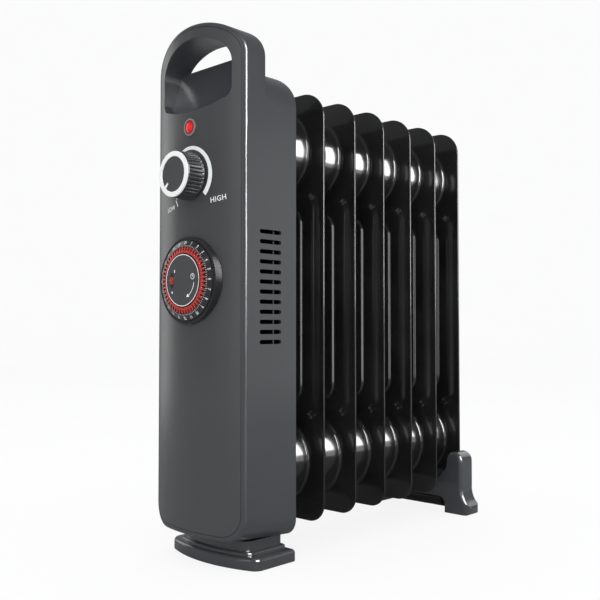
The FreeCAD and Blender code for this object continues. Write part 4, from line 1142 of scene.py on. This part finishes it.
@dataclass(frozen=True)
class Knob:
    """Fluted thermostat knob with its white ring, pointer and grey cap.

    Sizes named rear, front or floor are y from the crown. A fade is where it starts and how long
    it is, as shares of the knob's depth. The pointer's reach is from the ring's bore outwards, its
    levels are from the cap's face, and its two half widths are those at its root and at its tip.
    """

    datum: Datum
    finishes: Finishes
    base_radius: float = 17.2
    front_radius: float = 16.3
    rear: float = -0.5
    front: float = -14.3
    edge_radii: Pair = (0.4, 0.8)
    arc_steps: int = 6
    wall_steps: int = 22
    flutes: int = 36
    flute_columns: int = 12
    flute_depth: float = 0.8
    rear_fade: Pair = (0.06, 0.08)
    front_fade: Pair = (0.93, 0.06)
    face_margin: float = 0.4
    cavity: float = 14.2
    cavity_floor: float = -3.6
    ring_outer: float = 16.1
    ring_inner: float = 12.5
    ring_front: float = -15.5
    ring_radii: tuple[float, ...] = (0.05, 0.05, 0.5, 0.35)
    segments: int = 128
    pointer: float = 225.0
    pointer_reach: Pair = (0.4, -4.0)
    pointer_half: Pair = (1.1, 0.55)
    pointer_levels: Pair = (-0.3, -0.45)
    pointer_spread: tuple[float, ...] = (-1.0, -1.0, -0.7, 0.7, 1.0, 1.0)
    pointer_steps: int = 9
    cap_front: float = -15.0
    cap_gap: float = 0.12
    cap_radii: tuple[float, ...] = (0.0, 0.05, 0.35, 0.0)
    cap_land: float = 0.6
    cap_steps: tuple[int, int] = (5, 12)
    dish_start: float = 0.5
    dish_depth: float = 0.3

    @property
    def axis(self) -> tuple[float, float]:
        """X and Z of the knob's axis."""
        return self.datum.knob[0], self.datum.knob[2]

    def body(self) -> bpy.types.Object:
        """Fluted body.

        Its radius is the tapered side less flute_depth times the square of the positive part of
        cos(n t), faded out at both ends, so the flutes are narrow grooves between broad flats.

        Returns:
            The piece.
        """
        side = rounded_path([(self.cavity, self.rear), (self.base_radius, self.rear),
                             (self.front_radius, self.front), (0.0, self.front)],
                            [0, *self.edge_radii, 0], self.arc_steps)
        bend = self.arc_steps + 2
        wall = np.linspace(side[bend - 1], side[bend], self.wall_steps)[1:-1]
        profile = np.vstack([[(0.0, self.cavity_floor), (self.cavity, self.cavity_floor)],
                             side[:bend], wall, side[bend:]])
        profile[:, 1] += self.datum.crown
        columns = self.flutes * self.flute_columns
        grid = revolve(profile, self.axis, columns)
        angle = np.linspace(0, FULL_TURN, columns, endpoint=False)
        along = (self.datum.crown + self.rear - profile[:, 1]) / (self.rear - self.front)
        fade = (np.clip((along - self.rear_fade[0]) / self.rear_fade[1], 0, 1)
                * np.clip((self.front_fade[0] - along) / self.front_fade[1], 0, 1))
        fade[profile[:, 0] < self.front_radius - self.face_margin] = 0
        cut = self.flute_depth * fade[:, None] * np.clip(np.cos(self.flutes * angle), 0, 1) ** 2
        grid[..., 0] -= cut * np.cos(angle)
        grid[..., 2] -= cut * np.sin(angle)
        shape = Shape()
        shape.grid(grid, around=True)
        made = shape.build("knob_body", self.finishes.get("knob"), crease=50.0)
        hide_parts("thermostat_knob")
        return made

    def trim(self) -> bpy.types.Object:
        """White ring with rounded edges and its wedge-shaped pointer.

        Returns:
            The piece.
        """
        crown = self.datum.crown
        loop = rounded_path([(self.ring_inner, self.front), (self.ring_outer, self.front),
                             (self.ring_outer, self.ring_front),
                             (self.ring_inner, self.ring_front)],
                            self.ring_radii, self.arc_steps, closed=True)
        shape = Shape()
        loop[:, 1] += crown
        shape.grid(revolve(loop, self.axis, self.segments), around=True, along=True)
        reach = np.linspace(*self.pointer_reach, self.pointer_steps) + self.ring_inner
        width = np.linspace(*self.pointer_half, self.pointer_steps)
        out = around(math.radians(self.pointer))
        side = np.array([-out[1], out[0]])
        rise = [self.cap_front + level for level in self.pointer_levels]
        level = np.array([self.front, *rise, *rise[::-1], self.front]) + crown
        offset = (width[:, None] * self.pointer_spread)[..., None]
        flat = reach[:, None, None] * out + offset * side + self.axis
        level = np.broadcast_to(level, flat.shape[:2])
        shape.bar(np.stack([flat[..., 0], level, flat[..., 1]], axis=-1))
        made = shape.build("knob_ring_and_pointer", self.finishes.get("white"), crease=45.0)
        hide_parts("knob_trim_ring")
        return made

    def cap(self) -> bpy.types.Object:
        """Slightly dished cap: its face falls by dish_depth to the middle, as the radius squared.

        Returns:
            The piece.
        """
        corner_steps, dish_steps = self.cap_steps
        edge = self.ring_inner - self.cap_gap
        across = np.linspace(edge - self.dish_start, 0.0, dish_steps)
        dish = self.cap_front + self.dish_depth * (1 - (across / edge) ** 2)
        corner = rounded_path([(0.0, self.front), (edge, self.front), (edge, self.cap_front),
                               (edge - self.cap_land, self.cap_front)],
                              self.cap_radii, corner_steps)
        profile = np.vstack([corner, np.stack([across, dish], 1)])
        profile[:, 1] += self.datum.crown
        shape = Shape()
        shape.grid(revolve(profile, self.axis, self.segments), around=True)
        made = shape.build("knob_face", self.finishes.get("cap"), crease=45.0)
        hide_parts("knob_cap")
        return made

    def build(self) -> None:
        """Builds the knob's pieces."""
        for piece in (self.body(), self.trim(), self.cap()):
            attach(piece, "knob")


# ------------------------------------------------------------------ timer

@dataclass(frozen=True)
class TimerPrint:
    """Printed figures of the day timer.

    Sizes named front are y from the crown. Points on the disc are x and z from the timer's axis,
    and angles are in degrees, anticlockwise from X. The arrow's head is three radii and their
    angles in radians from the arrow's end.
    """

    datum: Datum
    finishes: Finishes
    hours: int = 24
    marks: int = 96
    flat_front: float = -5.2
    flat_edge: float = 24.7
    cone_edge: float = 28.5
    cone_front: float = -3.0
    figure_radius: float = 26.9
    figure_height: float = 1.95
    mark_start: float = 23.95
    mark_long: float = 25.6
    mark_short: float = 25.0
    disc_front: float = -6.6
    disc_radius: float = 18.5
    raised: float = 0.05
    cone_sunk: float = -0.15
    disc_sunk: float = -0.1
    weight: float = 0.035
    mark_half: float = 0.13
    line_points: int = 4
    arc_step: float = 4.0
    fewest_arc_points: int = 9
    line_inset: float = 0.35
    line_width: float = 0.5
    clock: Pair = (11.4, 2.4)
    clock_radius: float = 1.9
    clock_width: float = 0.42
    hand_tips: tuple[Pair, ...] = ((11.4, 3.7), (12.4, 2.4))
    hand_half: float = 0.2
    arrow_radius: float = 12.9
    arrow_sweep: Pair = (-8.0, -58.0)
    head_radii: Triple = (12.7, 11.4, 14.2)
    head_turns: Triple = (-0.2, 0.02, 0.02)
    wedge: tuple[Pair, ...] = ((-12.6, -8.6), (-10.6, -9.3), (-11.2, -7.4))
    stroke: tuple[Pair, ...] = ((-9.2, 5.6), (-8.4, 5.6), (-8.4, 7.6), (-9.2, 7.6))

    def place(self, flat: np.ndarray, y: np.ndarray) -> np.ndarray:
        """Sets flat points at their x and z from the timer's axis and at each one's y."""
        x, _, z = self.datum.timer
        return np.stack([flat[..., 0] + x, y, flat[..., 1] + z], axis=-1)

    def cone(self, flat: np.ndarray, height: float) -> np.ndarray:
        """Sets flat points on the dial: level out to flat_edge, then falling evenly to cone_edge.

        Args:
            flat: n x 2 points, x and z from the axis.
            height: how far they stand off.

        Returns:
            n x 3 points.
        """
        radius = np.hypot(flat[..., 0], flat[..., 1])
        fall = np.clip((radius - self.flat_edge) / (self.cone_edge - self.flat_edge), 0, 1)
        y = self.datum.crown + self.flat_front + (self.cone_front - self.flat_front) * fall - height
        return self.place(flat, y)

    def disc(self, flat: np.ndarray, height: float) -> np.ndarray:
        """Sets flat points on the fixed centre disc, raised by a height."""
        level = self.datum.crown + self.disc_front - height
        return self.place(flat, np.full(flat.shape[:-1], level))

    def figures(self) -> None:
        """Hours 1 to 24 round the cone and four marks for each hour.

        A figure's flat width becomes an angle about the axis (width over radius) and its height a
        radius.
        """
        shape = Shape()
        for hour in range(1, self.hours + 1):
            spots, triangles, rim = lettering(str(hour), self.figure_height, 1.0, self.weight)
            angle = FULL_TURN * hour / self.hours + spots[:, 0] / self.figure_radius
            radius = self.figure_radius + spots[:, 1]
            flat = np.stack([radius * np.sin(angle), radius * np.cos(angle)], 1)
            raise_print(shape, self.cone, flat, triangles, rim, self.cone_sunk, self.raised)
        marks_per_hour = self.marks // self.hours
        for mark in range(self.marks):
            angle = FULL_TURN * mark / self.marks
            out = np.array([math.sin(angle), math.cos(angle)])
            side = np.array([out[1], -out[0]]) * self.mark_half
            end = self.mark_short if mark % marks_per_hour else self.mark_long
            line = np.linspace(self.mark_start, end, self.line_points)[:, None] * out
            raise_band(shape, self.cone, line - side, line + side, self.cone_sunk, self.raised)
        made = shape.build("timer_figures", self.finishes.get("grey_ink"), crease=40.0)
        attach(made, "timer_dial")

    def ring(self, shape: Shape, centre: Pair, radius: float, width: float,
             sweep: Pair = (0.0, 360.0)) -> None:
        """Adds a printed arc on the centre disc.

        Args:
            shape: the shape that gets it.
            centre: its centre from the axis.
            radius: its middle radius.
            width: the line's width.
            sweep: its first and last angle.
        """
        steps = max(self.fewest_arc_points, int(abs(sweep[1] - sweep[0]) / self.arc_step))
        turn = around(np.radians(np.linspace(*sweep, steps)))
        raise_band(shape, self.disc, centre + turn * (radius - width / 2),
                   centre + turn * (radius + width / 2), self.disc_sunk, self.raised)

    def symbols(self) -> None:
        """Edge line, clock face, turning arrow and the switch's marks on the centre disc."""
        shape = Shape()
        self.ring(shape, (0.0, 0.0), self.disc_radius - self.line_inset, self.line_width)
        self.ring(shape, self.clock, self.clock_radius, self.clock_width)
        self.ring(shape, (0.0, 0.0), self.arrow_radius, self.line_width, self.arrow_sweep)
        for tip in self.hand_tips:
            line = np.linspace(self.clock, tip, 3)
            along = np.subtract(tip, self.clock)
            side = np.array([-along[1], along[0]]) / np.linalg.norm(along) * self.hand_half
            raise_band(shape, self.disc, line - side, line + side, self.disc_sunk, self.raised)
        head = around(math.radians(self.arrow_sweep[1]) + np.array(self.head_turns))
        head *= np.array(self.head_radii)[:, None]
        for spots in (head, np.array(self.wedge), np.array(self.stroke)):
            index = np.arange(len(spots))
            rim = np.stack([index, np.roll(index, -1)], 1)
            fan = np.stack([0 * index[2:], index[1:-1], index[2:]], 1)
            raise_print(shape, self.disc, spots, fan, rim, self.disc_sunk, self.raised)
        made = shape.build("timer_symbols", self.finishes.get("ink"), crease=40.0)
        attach(made, "heater")

    def build(self) -> None:
        """Builds the printed pieces."""
        self.figures()
        self.symbols()


@dataclass(frozen=True)
class Tappets:
    """The red time segments: a high inner lip on each and a narrower finger that falls outwards."""

    datum: Datum
    finishes: Finishes
    count: int = 48
    rear: float = -2.4
    radii: tuple[float, ...] = (19.3, 19.5, 20.7, 20.95, 21.2, 23.35, 23.6)
    tops: tuple[float, ...] = (-6.1, -6.3, -6.3, -6.1, -5.95, -5.65, -5.4)
    widths: tuple[float, ...] = (0.97, 0.97, 0.97, 0.85, 0.5, 0.46, 0.42)
    chamfer: float = 0.12

    def segment(self, angle: float) -> np.ndarray:
        """One segment as a tube along the radius with six points round it.

        Args:
            angle: where its middle stands, anticlockwise from X.

        Returns:
            7 x 6 x 3 grid.
        """
        radii = np.array(self.radii)
        half = np.array(self.widths) * math.pi * radii / self.count
        top = np.array(self.tops)
        inside = half - self.chamfer
        across = np.stack([-half, -half, -inside, inside, half, half], 1)
        low = np.full_like(top, self.rear)
        bevel = top + self.chamfer
        level = np.stack([low, bevel, top, top, bevel, low], 1) + self.datum.crown
        turn = angle + across / radii[:, None]
        return np.stack([self.datum.timer[0] + radii[:, None] * np.cos(turn), level,
                         self.datum.timer[2] + radii[:, None] * np.sin(turn)], axis=-1)

    def piece(self, name: str, angles: np.ndarray, node: str, body: str) -> None:
        """Builds some of the segments as one piece.

        Args:
            name: the piece's name.
            angles: their angles.
            node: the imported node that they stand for.
            body: the body that they ride on.
        """
        shape = Shape()
        for angle in angles:
            shape.bar(self.segment(angle))
        made = shape.build(name, self.finishes.get("red"), crease=30.0)
        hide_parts(node)
        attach(made, body)

    def build(self) -> None:
        """Builds the ring of segments and the one that moves by itself."""
        offset = (self.datum.middle("timer_tappet_single") - self.datum.timer)[[0, 2]]
        own = math.atan2(offset[1], offset[0])
        angles = own + FULL_TURN * np.arange(self.count) / self.count
        self.piece("time_segments", angles[1:], "timer_tappets", "timer_dial")
        self.piece("time_segment_pressed", angles[:1], "timer_tappet_single", "timer_tappet")


# ------------------------------------------------------------------ scene

class Reach(Enum):
    """What a light does: FILL brightens surfaces, CARD is only seen mirrored in them."""

    FILL = "fill"
    CARD = "card"


class Lit(Enum):
    """Which pieces a light falls on."""

    ALL = "all"
    RADIATOR = "radiator"
    HOUSING = "housing"


@dataclass(frozen=True)
class SoftBox:
    """A rectangular light: where it hangs and what it faces in metres, its size and radiance."""

    name: str
    place: Triple
    aim: Triple
    size: Pair
    radiance: float
    reach: Reach = Reach.CARD
    lit: Lit = Lit.ALL

    def hang(self, groups: dict[Lit, bpy.types.Collection]) -> None:
        """Makes the light; its power is radiance times pi times area.

        Args:
            groups: the pieces that each kind of linked light falls on.
        """
        data = bpy.data.lights.new(self.name, "AREA")
        data.shape = "RECTANGLE"
        data.size, data.size_y = self.size
        data.energy = self.radiance * math.pi * self.size[0] * self.size[1]
        made = bpy.data.objects.new(self.name, data)
        made.location = self.place
        facing = Vector(self.aim) - Vector(self.place)
        made.rotation_euler = facing.to_track_quat("-Z", "Y").to_euler()
        made.visible_camera = False
        made.visible_diffuse = self.reach is Reach.FILL
        made.visible_glossy = self.reach is Reach.CARD
        if self.lit is not Lit.ALL:
            made.light_linking.receiver_collection = groups[self.lit]
        bpy.context.scene.collection.objects.link(made)


class Studio:
    """Plain pale floor, soft lights and the camera."""

    CAMERA = (0.46166, -0.50813, 0.1680)
    AZIMUTH = 43.513
    RISE = 1.864
    LENS = 49.65
    BOXES = (
        SoftBox("key_box", (0.9, -1.3, 1.2), (0.0, 0.0, 0.2), (0.9, 0.9), 2.6, Reach.FILL),
        SoftBox("top_box", (0.0, 0.0, 1.6), (0.0, 0.0, 0.0), (1.4, 1.4), 1.0, Reach.FILL),
        SoftBox("right_card", (0.62, 0.18, 0.44), (0.0, 0.1, 0.25), (0.5, 0.5), 19.0,
                lit=Lit.RADIATOR),
        SoftBox("wide_card", (0.85, 0.28, 0.3), (0.0, 0.1, 0.2), (0.9, 1.2), 2.4, lit=Lit.RADIATOR),
        SoftBox("rim_card", (1.05, -0.8, 0.42), (0.03, 0.0, 0.2), (0.34, 0.95), 3.8,
                lit=Lit.RADIATOR),
        SoftBox("fillet_card", (0.95, -0.42, 0.68), (0.05, -0.12, 0.28), (0.5, 0.8), 34.0,
                lit=Lit.HOUSING),
        SoftBox("side_card", (0.9, 0.75, 0.2), (0.05, -0.1, 0.2), (0.6, 0.8), 0.7, lit=Lit.HOUSING),
        SoftBox("left_card", (-0.9, -0.25, 0.35), (-0.04, -0.13, 0.2), (0.3, 0.9), 1.15,
                lit=Lit.HOUSING),
        SoftBox("front_card", (-0.12, -1.3, 0.45), (0.03, -0.13, 0.2), (0.2, 0.9), 1.2,
                lit=Lit.HOUSING),
        SoftBox("back_card", (0.1, 1.2, 0.7), (0.0, 0.1, 0.2), (0.9, 0.7), 1.2),
    )
    RADIATOR = ("pressed_fin", "rear_foot", "oil_filler", "rail")
    SENSOR = 36.0
    SKY = (0.96, 0.98, 1.0, 1.0)
    SKY_STRENGTH = 0.92
    SKY_MIRRORED = 0.2
    SWEEP = ((-4.0, 0.0), (5.0, 0.0), (5.0, 5.0))
    SWEEP_BEND = 2.5
    SWEEP_STEPS = 24
    SWEEP_HALF = 7.0
    FLOOR_TONES = ((0.88, 0.88, 0.88), (0.92, 0.92, 0.92))
    FLOOR_CLOUDS = Grain(6.0)
    FLOOR_MIRRORED = (0.3, 0.3, 0.3)
    FLOOR_ROUGHNESS = 0.7
    FLOOR_GLOW = 0.86

    def floor(self) -> None:
        """Pale sweep: a level floor that curves up into a wall far behind; sizes in metres."""
        profile = rounded_path(self.SWEEP, [0, self.SWEEP_BEND, 0], self.SWEEP_STEPS) / MM
        across = np.array([-self.SWEEP_HALF, self.SWEEP_HALF]) / MM
        turn = math.radians(self.AZIMUTH)
        side = np.broadcast_to(across, (len(profile), 2))
        reach = profile[:, :1]
        rise = np.broadcast_to(profile[:, 1:], side.shape)
        grid = np.stack([side * math.cos(turn) - reach * math.sin(turn),
                         side * math.sin(turn) + reach * math.cos(turn), rise], axis=-1)
        shape = Shape()
        shape.grid(grid)
        sheet = NodeSheet("pale_floor")
        tone = sheet.span(sheet.noise(sheet.coordinates(), self.FLOOR_CLOUDS))
        ray = sheet.node("LightPath")
        pale = sheet.blend(tone, *self.FLOOR_TONES)
        dimmed = sheet.blend(ray.outputs["Is Glossy Ray"], pale, self.FLOOR_MIRRORED)
        sheet.finish(Roughness=self.FLOOR_ROUGHNESS, Base_Color=dimmed)
        both = sheet.node("MixShader")
        for socket, value in zip(both.inputs, (
                sheet.product(ray.outputs["Is Camera Ray"], self.FLOOR_GLOW),
                sheet.shader.outputs[0], sheet.node("Emission", Strength=1.0).outputs[0])):
            sheet.feed(socket, value)
        sheet.feed(sheet.tree.nodes["Material Output"].inputs["Surface"], both.outputs[0])
        shape.build("studio_floor", sheet.material, crease=60.0, turn_out=False)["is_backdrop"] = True

    def groups(self) -> dict[Lit, bpy.types.Collection]:
        """Sorts the shown pieces into those of the radiator and those of the housing.

        Returns:
            A collection for each linked kind of light.
        """
        groups = {kind: bpy.data.collections.new(kind.value)
                  for kind in (Lit.RADIATOR, Lit.HOUSING)}
        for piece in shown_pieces():
            kind = Lit.RADIATOR if piece.name.startswith(self.RADIATOR) else Lit.HOUSING
            groups[kind].objects.link(piece)
        return groups

    def world(self) -> None:
        """Even light from all round, dimmer in reflections, white to the camera."""
        world = bpy.data.worlds.new("studio_light")
        world.use_nodes = True
        nodes = world.node_tree.nodes
        link = world.node_tree.links.new
        back = nodes["Background"]
        back.inputs["Color"].default_value = self.SKY
        ray = nodes.new("ShaderNodeLightPath")
        dim = nodes.new("ShaderNodeMix")
        dim.inputs[2].default_value = self.SKY_STRENGTH
        dim.inputs[3].default_value = self.SKY_MIRRORED
        link(ray.outputs["Is Glossy Ray"], dim.inputs[0])
        seen = nodes.new("ShaderNodeMix")
        seen.inputs[3].default_value = 1.0
        link(ray.outputs["Is Camera Ray"], seen.inputs[0])
        link(dim.outputs[0], seen.inputs[2])
        link(seen.outputs[0], back.inputs["Strength"])
        bpy.context.scene.world = world

    def camera(self) -> None:
        """The camera, level but for a slight upward tilt."""
        data = bpy.data.cameras.new("camera")
        data.lens = self.LENS
        data.sensor_width = self.SENSOR
        made = bpy.data.objects.new("camera", data)
        made.location = self.CAMERA
        made.rotation_euler = (math.radians(90 + self.RISE), 0, math.radians(self.AZIMUTH))
        bpy.context.scene.collection.objects.link(made)
        bpy.context.scene.camera = made

    def build(self) -> None:
        """Makes the whole studio."""
        self.world()
        self.floor()
        groups = self.groups()
        for box in self.BOXES:
            box.hang(groups)
        self.camera()
        bpy.context.scene.view_settings.view_transform = "Standard"


def main() -> None:
    """Builds the heater's looks in order."""
    logging.basicConfig(level=logging.INFO, format="%(name)s: %(message)s")
    finishes = Finishes()
    datum = Datum()
    front = datum.low("indicator_lens")[1]
    lamp = tuple(float(value) * MM for value in (datum.lamp[0], front, datum.lamp[2]))
    finishes.put("lens", LampLens("lamp_red", (0.6, 0.006, 0.006), glow=0.55, centre=lamp,
                                  radius=0.0052))
    PackedNodes(finishes).dress()
    FinStack(datum, finishes).build()
    PrintedScale(datum, finishes).build()
    Knob(datum, finishes).build()
    TimerPrint(datum, finishes).build()
    Tappets(datum, finishes).build()
    Studio().build()


if __name__ == "__main__":
    main()
